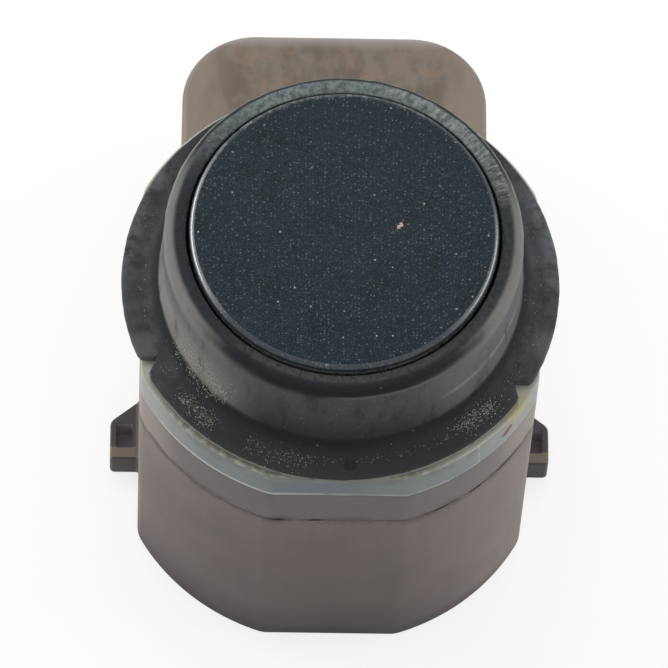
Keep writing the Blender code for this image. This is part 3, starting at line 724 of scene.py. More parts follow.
def rubber_finish():
    """Black rubber, scuffed grey-green with a painted sheen on its upper face and dusty on its walls, with painted
    highlights and painted shade on its rim, walls and flange.
    """
    f = Finish("ring_rubber", specular=0.14)
    grain = f.noise(0.20, 5, 0.65)
    fine = f.cloud(0.30, 0.36, 0.64, detail=5, roughness=0.72, shift=2.0)
    streaks = f.noise(0.8, 5, 0.6, (1.0, 1.0, 3.2), 3.0)
    f.base = f.mix(f.noise(2.4), (0.016, 0.018, 0.021), (0.027, 0.030, 0.034))
    mend = f.between(grain, 0.25, 0.70)

    # Upper face: a grey bloom on the far half, scuffs with a painted sheen, pale strokes at the right of it and dust
    # along the front
    upper = f.between(f.z, RING_TOP_Z - 0.10, RING_TOP_Z - 0.02)
    f.lay((0.038, 0.043, 0.048), upper, mend)
    f.lay((0.240, 0.278, 0.280), upper, f.facing(82, 82, 30), f.math("ADD", f.times(fine, 0.62), 0.34))
    strokes = f.noise(0.26, 6, 0.80, source=f.unrolled(0.22), shift=11.0)
    f.lay((0.44, 0.45, 0.43), upper, f.facing(44, 36, 16), f.between(strokes, 0.47, 0.64), 0.9)
    f.lay((0.36, 0.40, 0.39), upper, f.facing(96, 60, 30), f.between(strokes, 0.56, 0.68), 0.8)
    lip = f.between(f.radius, RING_BORE_R + 0.52, RING_BORE_R + 0.34)
    f.lay((0.070, 0.078, 0.074), upper, lip, f.facing(-88, 58, 25), f.cloud(0.25, 0.30, 0.60, shift=5.0))
    f.lay((0.075, 0.078, 0.078), upper, f.facing(-25, 42, 12), fine, 0.6)
    inner = f.times(upper, f.between(f.radius, RING_BORE_R + 0.09, RING_BORE_R + 0.03))
    f.lay((0.15, 0.16, 0.16), inner, f.cloud(0.4, 0.35, 0.65, shift=6.0), 0.8)

    # Rounded rim: painted shade at the front, and a thin line along the far half that is partly wear and partly a
    # painted highlight
    outer = f.between(f.radius, RING_R - 0.66, RING_R - 0.50)
    rounding = f.times(outer, f.between(f.z, WALL_TOP_Z, WALL_TOP_Z + 0.15))
    # Painted shade: the rim's rounding darkened where it faces the front.
    f.lay((0.012, 0.014, 0.017), outer, f.between(f.z, WALL_TOP_Z, WALL_TOP_Z + 0.40), f.facing(-95, 62, 26), 0.75)
    # A thin line on the far half of the rounding: partly wear, partly a painted highlight.
    worn_and_highlight_band = f.band(f.z, WALL_TOP_Z + 0.10, WALL_TOP_Z + 0.30, 0.12)
    f.lay((0.40, 0.42, 0.39), rounding, f.facing(92, 128, 88), worn_and_highlight_band, f.cloud(0.5, 0.22, 0.55, shift=9.0), 0.8)
    low_line = f.times(f.between(f.radius, RING_R - 0.2, RING_R - 0.08),
                       f.band(f.z, WALL_TOP_Z + 0.06, WALL_TOP_Z + 0.20, 0.08))
    f.lay((0.17, 0.175, 0.18), low_line, f.facing(-72, 26, 14), 0.8)

    # Wall: beige dust at the left, thin grey dust at the front and right, painted highlights on the shoulder at both
    # sides, and a painted highlight line at the right
    wall = f.times(f.between(f.z, WALL_TOP_Z + 0.36, WALL_TOP_Z - 0.10), f.between(f.z, -5.35, -4.9))
    height = f.between(f.z, -5.0, -1.8)
    f.lay((0.116, 0.122, 0.132), wall, f.facing(-88, 80, 45), f.math("ADD", f.times(height, 0.50), 0.35),
          f.between(streaks, 0.15, 0.55))
    sides = f.times(f.between(f.z, WALL_TOP_Z + 0.50, WALL_TOP_Z + 0.15), f.between(f.z, -5.35, -4.9))
    f.lay((0.170, 0.174, 0.175), sides, f.facing(-10, 62, 34), f.between(streaks, 0.14, 0.54), 0.9)
    lower = f.math("ADD", f.times(f.between(f.z, -1.6, -3.6), 0.50), 0.50)
    f.lay((0.29, 0.282, 0.262), sides, f.facing(-176, 64, 34), f.between(streaks, 0.12, 0.50), lower)
    # Painted highlights: pale bands on the rounding's shoulder at the left and right, where the lamps shine.
    shoulder = f.between(f.radius, RING_R - 0.62, RING_R - 0.34)
    painted_glints = f.either(f.facing(-172, 44, 18), f.facing(-12, 40, 14))
    f.lay((0.255, 0.252, 0.240), shoulder, f.between(f.z, WALL_TOP_Z - 0.4, WALL_TOP_Z), painted_glints,
          f.cloud(1.6, 0.10, 0.50, shift=15.0), 0.85)
    f.lay((0.11, 0.115, 0.12), wall, f.facing(176, 12, 4), f.cloud(1.2, 0.40, 0.6, shift=12.0), 0.5)
    # Painted highlight: a pale line across the wall at the right.
    line = f.times(wall, f.band(f.z, -3.52, -3.28, 0.14), f.facing(-33, 26, 16))
    f.lay((0.30, 0.31, 0.31), line, f.between(streaks, 0.30, 0.55), 0.7)

    # Flange: charcoal with painted shade next to the wall at the front, a pale powder on its ears, brown grease at
    # the rear left and a dusty rim
    flange = f.times(f.between(f.radius, FOOT_R + 0.20, FOOT_R + 0.75), f.between(f.z, -5.35, -5.60))
    f.lay((0.050, 0.055, 0.058), flange, 0.85)
    # Painted shade: darker next to the wall's foot at the front.
    foot_crease_shade = f.between(f.radius, FOOT_R + 0.9, FOOT_R + 0.4)
    f.lay((0.032, 0.036, 0.038), flange, f.facing(-90, 70, 50), foot_crease_shade, 0.8)
    powder = f.cloud(0.9, 0.30, 0.66, detail=5, roughness=0.65, shift=8.0)
    ears = f.either(f.facing(178, 46, 26), f.facing(2, 46, 26))
    f.lay((0.105, 0.112, 0.118), flange, ears, powder, 0.75)
    outer = f.between(f.radius, FLANGE_R - 0.9, FLANGE_R - 0.3)
    f.lay((0.18, 0.19, 0.20), flange, outer, f.either(f.facing(160, 24, 8), f.facing(14, 20, 8)), powder, 0.85)
    f.lay((0.060, 0.050, 0.036), flange, f.near(seen_at(GREASE_PX, FLANGE_TOP_Z), 2.6, 0.6), mend, 0.8)
    for pixel in (EAR_LEFT_PX, EAR_RIGHT_PX):
        f.lay((0.15, 0.155, 0.16), flange, f.near(seen_at(pixel, FLANGE_TOP_Z), 1.0, 0.3), 0.75)
    f.lay((0.014, 0.015, 0.016), f.near(seen_at(FLANGE_SPOT_PX, FLANGE_TOP_Z), 0.40, 0.24), 0.6)
    side = f.between(f.z, FLANGE_TOP_Z - 0.06, FLANGE_TOP_Z - 0.12)
    lobe = f.facing(-93, 64, 56)
    f.lay((0.34, 0.35, 0.30), side, f.between(f.radius, 10.2, 10.5), lobe, f.cloud(0.7, 0.10, 0.50), 0.9)
    f.lay((0.30, 0.30, 0.27), f.specks(0.30, 0.16, 0.16), f.math("SUBTRACT", 1.0, upper), 0.8)
    return f.done(grain, (0.50, 0.78), f.math("ADD", grain, f.times(fine, 0.5)), 0.015)


def plate_finish():
    """Pale grey-green plastic that light passes into, with stains and dirt, painted light on its sides and top
    shelf, painted shade under the flange, and a painted highlight along its lower edge.
    """
    f = Finish("pale_plastic", specular=0.35)
    f.shader.inputs["Subsurface Weight"].default_value = 0.25
    f.shader.inputs["Subsurface Radius"].default_value = (0.5, 0.6, 0.55)
    f.shader.inputs["Subsurface Scale"].default_value = MM
    shade = f.noise(0.9, shift=6.0)
    f.base = f.mix(f.noise(2.5), (0.200, 0.240, 0.258), (0.262, 0.290, 0.292))
    # Painted light: the left and right sides lighter than the front.
    f.lay((0.42, 0.44, 0.41), f.facing(-176, 50, 20), 0.9)
    f.lay((0.37, 0.40, 0.37), f.facing(-10, 50, 18), 0.85)
    f.lay((0.135, 0.170, 0.200), f.facing(-96, 16, 8), f.band(f.z, -7.9, -7.0, 0.3), 0.6)
    # Olive dirt under the flange at the front, with painted shade from the flange.
    upper = f.between(f.z, PLATE_TOP_Z - 0.90, PLATE_TOP_Z - 0.20)
    f.lay((0.190, 0.190, 0.155), upper, f.between(shade, 0.34, 0.60), f.facing(-95, 50, 30), 0.7)
    # Painted light: the top shelf made pale against the shade under the flange, with olive dirt at the front.
    shelf = f.between(f.z, PALE_TOP_Z - 0.12, PALE_TOP_Z - 0.05)
    f.lay((0.50, 0.51, 0.44), shelf, 0.9)
    f.lay((0.20, 0.195, 0.160), shelf, f.facing(-102, 48, 28), f.cloud(0.45, 0.30, 0.60, shift=13.0), 0.8)
    # Painted highlight: a bright line along the lower edge at the front left, and a paler one at the front right.
    lower = f.between(f.z, PLATE_BOTTOM_Z + 0.20, PLATE_BOTTOM_Z + 0.10)
    f.lay((0.75, 0.75, 0.72), lower, f.facing(-120, 30, 10), 0.85)
    f.lay((0.50, 0.51, 0.48), lower, f.facing(-75, 50, 25), f.cloud(0.7, 0.30, 0.6, shift=2.0), 0.7)
    f.lay((0.48, 0.42, 0.20), f.near(seen_on_plate(STAIN_PX), 1.4, 0.2), f.cloud(0.5, 0.20, 0.52), 0.85)
    f.lay((0.44, 0.30, 0.21), f.near(seen_on_plate((RUST_PX[0] + 1, RUST_PX[1] - 3)), 0.55, 0.2), 0.6)
    for step in range(-2, 4):
        pixel = (RUST_PX[0] + 0.9 * step, RUST_PX[1] - 1.3 * step)
        f.lay((0.14, 0.022, 0.012), f.near(seen_on_plate(pixel), 0.32, 0.12), 0.9)
    for step in range(-5, 6):
        pixel = (SCRATCH_PX[0], SCRATCH_PX[1] + 2.0 * step)
        f.lay((0.70, 0.72, 0.68), f.near(seen_on_plate(pixel), 0.13, 0.02), f.cloud(0.3, 0.3, 0.6), 0.7)
    f.lay((0.72, 0.72, 0.66), f.specks(0.40, 0.16, 0.12, 1.3))
    return f.done(shade, (0.30, 0.55), f.noise(0.15, roughness=0.6), 0.006)


def housing_finish():
    """Brown-grey moulded plastic with faint streaks, painted shade at its lower front, dark lugs with painted light
    in their pockets, and painted highlights on the band's ends and the shroud's sides.
    """
    f = Finish("housing_plastic", specular=0.28)
    patches = f.noise(3.2, shift=5.0)
    f.base = f.mix(f.noise(0.9, 4, 0.6, (1.0, 1.0, 12.0)), (0.188, 0.150, 0.138), (0.272, 0.226, 0.212))
    f.lay((0.215, 0.180, 0.150), f.between(patches, 0.42, 0.68), 0.45)
    f.lay((0.190, 0.180, 0.172), f.cloud(2.6, 0.50, 0.68, stretch=(1.0, 1.0, 5.0), shift=9.0), 0.55)
    band = f.between(f.z, FRAME_BOTTOM_Z, FRAME_BOTTOM_Z + 0.02)
    f.lay((0.190, 0.172, 0.168), band, 0.80)
    # Painted light: the band's left and right ends lighter.
    f.lay((0.44, 0.37, 0.33), band, f.either(f.facing(-172, 40, 14), f.facing(-8, 42, 14)), 0.85)
    smudge = f.band(f.z, BODY_TOP_Z - 0.15, FRAME_BOTTOM_Z + 0.10, 0.40)
    f.lay((0.095, 0.076, 0.068), smudge, f.cloud(0.8, 0.36, 0.58), 0.65)
    # Painted shade: the front darker lower down, darkest at the bottom edge.
    shaded_front = f.facing(-102, 64, 20)
    f.lay((0.135, 0.108, 0.103), f.between(f.z, -9.0, -16.0), shaded_front, 0.45)
    f.lay((0.100, 0.080, 0.078), f.between(f.z, -14.5, -22.0), shaded_front, 0.45)
    f.lay((0.042, 0.035, 0.035), f.between(f.z, -21.2, REAR_Z + 0.2), f.facing(-108, 66, 32), 0.8)
    f.lay((0.020, 0.016, 0.016), f.between(f.z, REAR_Z + 1.5, REAR_Z + 0.1), f.facing(-92, 64, 40), 0.8)

    # Shroud: a painted highlight towards its sides and along its far edge, with orange-brown patches
    behind = f.between(f.y, 8.0, 11.5)
    f.lay((0.250, 0.208, 0.168), behind, 0.80)
    f.lay((0.135, 0.105, 0.082), behind, f.cloud(1.5, 0.42, 0.64, stretch=(0.8, 1.6, 1.0), shift=4.0), 0.65)
    f.lay((0.340, 0.220, 0.140), behind, f.cloud(1.1, 0.52, 0.68, shift=14.0), 0.5)
    ends = f.between(f.math("ABSOLUTE", f.x), SHROUD_HALF_WIDTH - 3.0, SHROUD_HALF_WIDTH - 0.8)
    f.lay((0.320, 0.268, 0.225), behind, ends, 0.65)
    far = f.between(f.y, SHROUD_FAR_Y - 0.9, SHROUD_FAR_Y - 0.15)
    f.lay((0.44, 0.40, 0.395), far, 0.7)

    # Lugs: dark all over but for the bar in front of the pocket, with painted light inside the pocket
    lug = f.between(f.math("ABSOLUTE", f.x), HALF_WIDTH + 0.04, HALF_WIDTH + 0.22)
    lug = f.times(lug, f.between(f.y, LUG_REAR_Y + 1.0, LUG_REAR_Y + 0.5))
    f.lay((0.060, 0.053, 0.060), lug, 0.85)
    bar = f.times(f.band(f.y, LUG_FRONT_Y + 0.12, POCKET_FRONT_Y, 0.10), f.between(f.z, LUG_TOP_Z - 0.2, LUG_TOP_Z))
    f.lay((0.26, 0.21, 0.17), lug, bar, 0.85)
    # Painted light: the pockets' insides made pale, where they lie in shade.
    across = f.band(f.math("ABSOLUTE", f.x), HALF_WIDTH + POCKET_WALL, LUG_OUTER_X - POCKET_WALL, 0.01)
    inside = f.between(f.z, LUG_TOP_Z, LUG_TOP_Z - 0.1)
    f.lay((0.50, 0.46, 0.50), across, f.band(f.y, POCKET_FRONT_Y, POCKET_REAR_Y, 0.01), inside, 0.9)
    f.lay((0.36, 0.33, 0.30), f.specks(0.55, 0.10, 0.10, 6.3), 0.6)
    height = f.math("ADD", f.times(f.noise(0.12, 3), 0.6), f.noise(0.6, 3))
    return f.done(patches, (0.42, 0.62), height, 0.008, 0.06)


def seam_finish():
    """Brown dirt that fills the seam, with dark dashes and paler smears."""
    f = Finish("seam_dirt", specular=0.1)
    f.base = f.mix(f.noise(0.5, 5, 0.7), (0.18, 0.148, 0.135), (0.28, 0.238, 0.217))
    dashes = f.either(f.facing(-102, 10, 5), f.facing(-51, 18, 11))
    f.lay((0.040, 0.030, 0.030), f.cloud(1.3, 0.42, 0.52, shift=3.0), dashes, 0.85)
    f.lay((0.34, 0.31, 0.29), f.cloud(1.1, 0.58, 0.66, shift=8.0), 0.7)
    return f.done(f.noise(0.15), (0.8, 0.95), depth=0.02)


def grain_finish(name, colour, roughness, metallic=0.0, variety=0.25, size=0.5):
    """A plain moulded, cast or plated finish: a cloudy colour with a fine grain."""
    f = Finish(name, metallic=metallic)
    darker = tuple(c * (1 - variety) for c in colour)
    lighter = tuple(min(1.0, c * (1 + variety)) for c in colour)
    f.base = f.mix(f.noise(size * 4), darker, lighter)
    return f.done(f.noise(size), (max(0.05, roughness - 0.12), min(1.0, roughness + 0.12)), f.noise(size / 2), 0.008)


# Pieces that replace a node with a finer surface

def make_cup():
    profile = [(CENTRE_R, FACE_Z)]
    profile += [(CUP_R - inset, z) for inset, z in upper_edge(FACE_Z, CUP_EDGE_R, 10)]
    groove_bottom = GROOVE_TOP_Z - GROOVE_HEIGHT
    profile += [
        (CUP_R, GROOVE_TOP_Z), (CUP_R - GROOVE_DEPTH, GROOVE_TOP_Z),
        (CUP_R - GROOVE_DEPTH, groove_bottom), (CUP_R, groove_bottom),
        (CUP_R, CUP_BOTTOM_Z), (CUP_R - CUP_WALL, CUP_BOTTOM_Z),
        (CUP_R - CUP_WALL, -MEMBRANE), (CENTRE_R, -MEMBRANE),
    ]
    loops = [[polar(radius, turn, z) for turn in turns(TURN_STEPS)] for radius, z in profile]
    cup = add_piece(loft("painted_cup", loops), face_finish(), "transducer_cup")
    cup.data.materials.append(cup_side_finish())
    paint_bottom = (FACE_Z - CUP_EDGE_R * 0.70) * MM
    for face in cup.data.polygons:
        face.material_index = int(face.center.z < paint_bottom)


def flange_radius(turn):
    """The flange's reach at an angle: a circle with two notches, each between an ear and the front lobe."""
    spans = [NOTCH_DEPTH * tan(slope) / FLANGE_R for slope in (NOTCH_LOBE_SLOPE, NOTCH_EAR_SLOPE)]
    for side in (-1, 1):
        tip = -pi / 2 + RING_TURN + side * NOTCH_SPREAD
        away = side * ((turn - tip + pi) % (2 * pi) - pi)
        share = abs(away) / spans[away > 0]
        cut = NOTCH_DEPTH * (1 - share)
        blend = (share - 1) * spans[away > 0] * FLANGE_R
        if cut > NOTCH_ROUNDING:
            return FLANGE_R - cut
        if blend < NOTCH_ROUNDING * 3:
            depth = (NOTCH_ROUNDING * 3 - max(blend, 0.0)) / (NOTCH_ROUNDING * 3)
            return FLANGE_R - max(NOTCH_ROUNDING * depth ** 2, cut)
    return FLANGE_R


def wall_radius(z):
    """The ring's outer radius at a height between its rounded rim and its flange."""
    if z > WALL_FOOT_Z:
        share = max(0.0, (WALL_TOP_Z - z) / (WALL_TOP_Z - WALL_FOOT_Z))
        return RING_R + (FOOT_R - RING_R) * share ** 1.3
    drop = min(WALL_FOOT_Z - z, FOOT_FILLET)
    return FOOT_R + FOOT_FILLET - sqrt(FOOT_FILLET ** 2 - drop ** 2)


def ring_profile(flange_r):
    """(radius, z) points round the ring's section, for a flange that reaches so far."""
    rib_top = GROOVE_TOP_Z - FIT
    rib_bottom = GROOVE_TOP_Z - GROOVE_HEIGHT + FIT
    lip_top = LIP_BOTTOM_Z + LIP_THICK
    top_inner = RING_BORE_R + RING_LIP_R
    top_outer = RING_R - RING_EDGE_R
    points = [(RING_BORE_R, RING_TOP_Z - RING_LIP_R), (top_inner, RING_TOP_Z)]
    points += [(top_inner + (top_outer - top_inner) * i / 5, RING_TOP_Z) for i in range(1, 5)]
    points += [(RING_R - inset, z) for inset, z in upper_edge(RING_TOP_Z, RING_EDGE_R, 10)]
    heights = [WALL_TOP_Z + (WALL_FOOT_Z - WALL_TOP_Z) * i / 24 for i in range(1, 24)]
    points += [(wall_radius(z), z) for z in heights]
    centre = FOOT_R + FOOT_FILLET
    points += arc(centre, WALL_FOOT_Z, FOOT_FILLET, pi, 3 * pi / 2, 8)
    flat_end = flange_r - FLANGE_EDGE_R
    points += [(centre + (flat_end - centre) * share, FLANGE_TOP_Z) for share in (0.35, 0.7)]
    points += [(flange_r - inset, z) for inset, z in upper_edge(FLANGE_TOP_Z, FLANGE_EDGE_R, 4)]
    points += [(flange_r - inset, z) for inset, z in lower_edge(FLANGE_BOTTOM_Z, FLANGE_EDGE_R, 4)]
    points += [
        (SKIRT_R, FLANGE_BOTTOM_Z), (SKIRT_R, LIP_BOTTOM_Z),
        (CUP_R - LIP_REACH, LIP_BOTTOM_Z), (CUP_R - LIP_REACH, lip_top),
        (RING_BORE_R, lip_top), (RING_BORE_R, rib_bottom),
        (RING_BORE_R - GROOVE_DEPTH, rib_bottom), (RING_BORE_R - GROOVE_DEPTH, rib_top),
        (RING_BORE_R, rib_top),
    ]
    return points


def ring_turns():
    """Angles round the ring, closer together at the notches."""
    angles = set(turns(TURN_STEPS))
    for side in (-1, 1):
        tip = -pi / 2 + RING_TURN + side * NOTCH_SPREAD
        angles.update((tip + radians(step / 4)) % (2 * pi) for step in range(-32, 33))
    spaced = []
    for angle in sorted(angles):
        if not spaced or angle - spaced[-1] > radians(0.1):
            spaced.append(angle)
    return spaced


def make_ring():
    angles = ring_turns()
    sections = [ring_profile(flange_radius(turn)) for turn in angles]
    loops = [[polar(r, turn, z) for (r, z), turn in zip(row, angles)] for row in zip(*sections)]
    mesh = loft("rubber_ring", loops, closed=True)
    weather(mesh, 0.020, 0.9, lambda place: hypot(place.x, place.y) > RING_BORE_R + 0.1 and place.z > -6.3)
    add_piece(mesh, rubber_finish(), "decoupling_ring", 45.0)


def make_plate():
    """The pale plate. It rests on the frame, so that no dark gap shows under its lower edge, which carries a painted
    highlight.
    """
    pairs = upper_edge(PALE_TOP_Z, EDGE_BREAK, 4) + lower_edge(PALE_BOTTOM_Z, SHARP_BREAK, 4)
    loops = [level(plan(inset), z) for inset, z in pairs]
    bore = circle_under_plan(SEAT_BORE_R)
    loops += [level(bore, PALE_BOTTOM_Z), level(bore, PALE_TOP_Z)]
    add_piece(loft("pale_plate", loops, closed=True), plate_finish(), "carrier_plate")


def make_frame(finish):
    bore = circle_under_plan(SEAT_BORE_R)
    loops = [level(bore, FLOOR_TOP_Z), level(bore, FRAME_TOP_Z)]
    pairs = upper_edge(FRAME_TOP_Z, SHARP_BREAK, 4) + lower_edge(FRAME_BOTTOM_Z, SHARP_BREAK, 4)
    loops += [level(plan(inset), z) for inset, z in pairs]
    outer = plan(TONGUE_INSET)
    inner = plan(TONGUE_INSET + TONGUE_THICK)
    loops += [level(outer, FRAME_BOTTOM_Z), level(outer, TONGUE_BOTTOM_Z)]
    loops += [level(inner, TONGUE_BOTTOM_Z), level(inner, FRAME_BOTTOM_Z)]
    holes = []
    for side in (-1, 1):
        hole = circle(POST_HOLE_R, HOLE_STEPS, (side * POST_SPREAD, 0.0))
        holes.append(("DIFFERENCE", prism("hole", hole, FRAME_BOTTOM_Z - CUT_MARGIN, FLOOR_TOP_Z + CUT_MARGIN)))
    mesh = carved(loft("brown_band", loops), holes)
    add_piece(mesh, finish, "front_frame")


def lug_outline(side):
    """A lug seen from above, with a fillet where each of its sides meets the housing's wall."""
    wall = HALF_WIDTH - LUG_SINK
    root = wall - LUG_ROOT
    front_root_y = LUG_FRONT_Y - LUG_FRONT_FILLET - LUG_SINK
    rear_root_y = LUG_REAR_Y + LUG_REAR_FILLET / 2 + LUG_SINK
    corners = [
        (root, front_root_y, 0.0),
        (wall, front_root_y, 0.0),
        (wall, LUG_FRONT_Y, LUG_FRONT_FILLET),
        (LUG_OUTER_X, LUG_FRONT_Y, LUG_CORNER_R),
        (LUG_OUTER_X, LUG_REAR_Y - LUG_CHAMFER, LUG_SHOULDER_R),
        (wall, LUG_REAR_Y, LUG_REAR_FILLET),
        (wall, rear_root_y, 0.0),
        (root, rear_root_y, 0.0),
    ]
    return rounded([(side * x, y, radius) for x, y, radius in corners], 6)


def soft_prism(name, outline, low, high, top_r, low_r):
    """A prism whose upper and lower edges are rounded."""
    pairs = upper_edge(high, top_r) + lower_edge(low, low_r)
    return loft(name, [level(moved_in(outline, inset), z) for inset, z in pairs])


def lug_steps():
    steps = []
    for side in (-1, 1):
        steps.append(("UNION", soft_prism("lug", lug_outline(side), REAR_Z, LUG_TOP_Z, LUG_EDGE_R, LUG_EDGE_R)))
        inner = HALF_WIDTH + POCKET_WALL
        outer = LUG_OUTER_X - POCKET_WALL
        low_x, high_x = sorted((side * inner, side * outer))
        outline = rectangle(low_x, POCKET_FRONT_Y, high_x, POCKET_REAR_Y, POCKET_CORNER_R)
        steps.append(("DIFFERENCE", prism("pocket", outline, POCKET_FLOOR_Z, LUG_TOP_Z + CUT_MARGIN)))
    return steps


def shroud_steps():
    inside_y = SOCKET_NEAR_Y - SOCKET_SPAN
    outline = rounded([
        (-SHROUD_HALF_WIDTH, inside_y, 0.0),
        (SHROUD_HALF_WIDTH, inside_y, 0.0),
        (SHROUD_HALF_WIDTH, SHROUD_FAR_Y, SHROUD_CORNER_R),
        (-SHROUD_HALF_WIDTH, SHROUD_FAR_Y, SHROUD_CORNER_R),
    ], 16)
    shroud = soft_prism("shroud", outline, REAR_Z, SHROUD_TOP_Z, SHROUD_EDGE_R, SHROUD_RIM_R)
    root = SHROUD_FAR_Y - SHROUD_WALL / 2
    ramp = [
        (root, LATCH_LOW_Z), (SHROUD_FAR_Y, LATCH_LOW_Z),
        (SHROUD_FAR_Y + LATCH_REACH, LATCH_HIGH_Z), (root, LATCH_HIGH_Z),
    ]
    ends = [[(x, y, z) for y, z in ramp] for x in (-LATCH_HALF_WIDTH, LATCH_HALF_WIDTH)]
    return [("UNION", shroud), ("UNION", loft("latch", ends))]


def hollow_steps():
    """Cut the chamber, the ledge's opening and the tongue's seat out of the body."""
    spans = (
        (WALL, REAR_Z - CUT_MARGIN, LEDGE_BOTTOM_Z),
        (WALL + LEDGE_WIDTH, LEDGE_BOTTOM_Z - CUT_MARGIN, BODY_TOP_Z + CUT_MARGIN),
        (WALL, LEDGE_TOP_Z, BODY_TOP_Z + CUT_MARGIN),
    )
    return [("DIFFERENCE", prism("hollow", plan(inset), low, high)) for inset, low, high in spans]


def socket_steps():
    """Cut the plug socket and the mouths of the blades' slots, and leave a key rib on each side."""
    width = SOCKET_HALF_WIDTH
    hole = rectangle(-width, SOCKET_NEAR_Y, width, SOCKET_FAR_Y, SOCKET_CORNER_R)
    steps = [("DIFFERENCE", prism("socket", hole, REAR_Z - CUT_MARGIN, SOCKET_TOP_Z))]
    for side in (-1, 1):
        low_x, high_x = sorted((side * (width - KEY_RIB_REACH), side * (width + SHROUD_WALL / 2)))
        low_y = PIN_ROW_Y - KEY_RIB_WIDTH / 2
        rib = rectangle(low_x, low_y, high_x, low_y + KEY_RIB_WIDTH, 0.08)
        steps.append(("UNION", prism("rib", rib, REAR_Z + KEY_RIB_RECESS, SOCKET_TOP_Z + CUT_MARGIN / 2)))
    for number in (-1, 0, 1):
        x = number * PIN_PITCH
        slot = rectangle(x - PIN_SLOT[0] / 2, PIN_ROW_Y - PIN_SLOT[1] / 2,
                         x + PIN_SLOT[0] / 2, PIN_ROW_Y + PIN_SLOT[1] / 2, 0.05)
        low = SOCKET_TOP_Z - CUT_MARGIN
        steps.append(("DIFFERENCE", prism("slot", slot, low, SOCKET_TOP_Z + PIN_SLOT_DEPTH)))
    return steps


def crease_lug_roots(mesh):
    """Make the edges between the lugs and the wall sharp, so that the wall's shading stays flat round them."""
    for edge in mesh.edges:
        ends = [mesh.vertices[i].co / MM for i in edge.vertices]
        on_wall = all(abs(abs(end.x) - HALF_WIDTH) < 0.01 for end in ends)
        if on_wall and all(abs(end.y) < LUG_REAR_Y + 0.8 and end.z < LUG_TOP_Z + 0.2 for end in ends):
            edge.use_edge_sharp = True


def make_housing(finish):
    pairs = upper_edge(BODY_TOP_Z, SHARP_BREAK, 4) + lower_edge(REAR_Z, REAR_EDGE_R, 6)
    body = loft("brown_housing", [level(plan(inset), z) for inset, z in pairs])
    mesh = carved(body, shroud_steps() + lug_steps() + hollow_steps() + socket_steps())
    housing = add_piece(mesh, finish, "housing")
    crease_lug_roots(housing.data)


# Dirt that lies on the surfaces

def make_seam_dirt():
    """A band of dirt that fills the seam between the frame and the housing."""
    outer = plan(0.003)
    inner = plan(0.9)
    low = BODY_TOP_Z - 0.02
    high = FRAME_BOTTOM_Z + 0.02
    loops = [level(outer, low), level(outer, high), level(inner, high), level(inner, low)]
    add_piece(loft("seam_dirt", loops, closed=True), seam_finish())


def crumb_mesh(name, spots, seed):
    """One mesh of small rough crumbs at (point, size) spots."""
    draw = random.Random(seed)
    pattern = bmesh.new()
    bmesh.ops.create_icosphere(pattern, subdivisions=1, radius=1.0)
    ball = [vertex.co.copy() for vertex in pattern.verts]
    sides = [[vertex.index for vertex in face.verts] for face in pattern.faces]
    pattern.free()
    points = []
    faces = []
    for spot, size in spots:
        start = len(points)
        squash = Vector([draw.uniform(0.5, 1.2) for _ in range(3)])
        for corner in ball:
            away = size * draw.uniform(0.7, 1.15)
            points.append(Vector(spot) + corner * squash * away)
        faces += [[start + i for i in side] for side in sides]
    mesh = bpy.data.meshes.new(name)
    mesh.from_pydata([point * MM for point in points], [], faces)
    return mesh


def along(pixels, share):
    """A pixel part of the way along a line of pixels."""
    place = share * (len(pixels) - 1)
    first = min(int(place), len(pixels) - 2)
    start = Vector(pixels[first])
    return start + (Vector(pixels[first + 1]) - start) * (place - first)


def seen_on_wall(pixel):
    """The point of the ring's wall or foot that the camera sees at a pixel."""
    z = WALL_TOP_Z
    while z > FLANGE_TOP_Z:
        point = seen_at(pixel, z)
        if hypot(point.x, point.y) <= wall_radius(z):
            return point
        z -= 0.02
    return seen_at(pixel, FLANGE_TOP_Z)


def ring_crumbs(draw):
    """Spots of pale grit on the ring: drifts where the photo shows them, and single grains round them."""
    spots = []
    for line, count, spread, largest in (
        (WALL_GRIT_PX, 1900, 6.0, 0.040), (LEFT_GRIT_PX, 420, 5.5, 0.034), (RIGHT_GRIT_PX, 480, 6.5, 0.036),
        (FRONT_GRIT_PX, 260, 9.0, 0.028),
    ):
        for _ in range(count):
            pixel = along(line, draw.random()) + Vector((draw.gauss(0, spread), draw.gauss(0, spread * 0.7)))
            spots.append((seen_on_wall(pixel), draw.uniform(0.008, largest)))
    for centre, spread, count in ((-95, 45, 260), (175, 60, 90), (0, 40, 80)):
        for _ in range(count):
            turn = radians(draw.gauss(centre, spread))
            spots.append((polar(draw.uniform(FOOT_R + 0.6, FLANGE_R - 0.75), turn, FLANGE_TOP_Z),
                          draw.uniform(0.010, 0.030)))
    for _ in range(150):
        turn = radians(draw.gauss(-90, 36))
        z = draw.uniform(-4.8, WALL_TOP_Z)
        spots.append((polar(wall_radius(z), turn, z), draw.uniform(0.008, 0.024)))
    spots += [(seen_on_wall(pixel), 0.055) for pixel in BRIGHT_GRAINS_PX]
    return spots


def gap_crumbs(draw):
    """Spots of grey dirt in the gap at the cup's foot and on the ring's inner lip."""
    spots = []
    for _ in range(560):
        turn = radians(draw.gauss(-90, 30))
        spots.append((polar(CUP_R + draw.uniform(0.0, 0.04), turn, draw.uniform(-0.60, -0.42)),
                      draw.uniform(0.014, 0.032)))
    for _ in range(240):
        turn = radians(draw.gauss(-86, 30))
        spots.append((polar(RING_BORE_R + 0.04 + abs(draw.gauss(0, 0.14)), turn, RING_TOP_Z),
                      draw.uniform(0.010, 0.032)))
    for _ in range(110):
        turn = radians(draw.gauss(88, 70))
        spots.append((polar(draw.uniform(RING_BORE_R + 0.05, RING_R - 0.7), turn, RING_TOP_Z),
                      draw.uniform(0.008, 0.024)))
    return spots


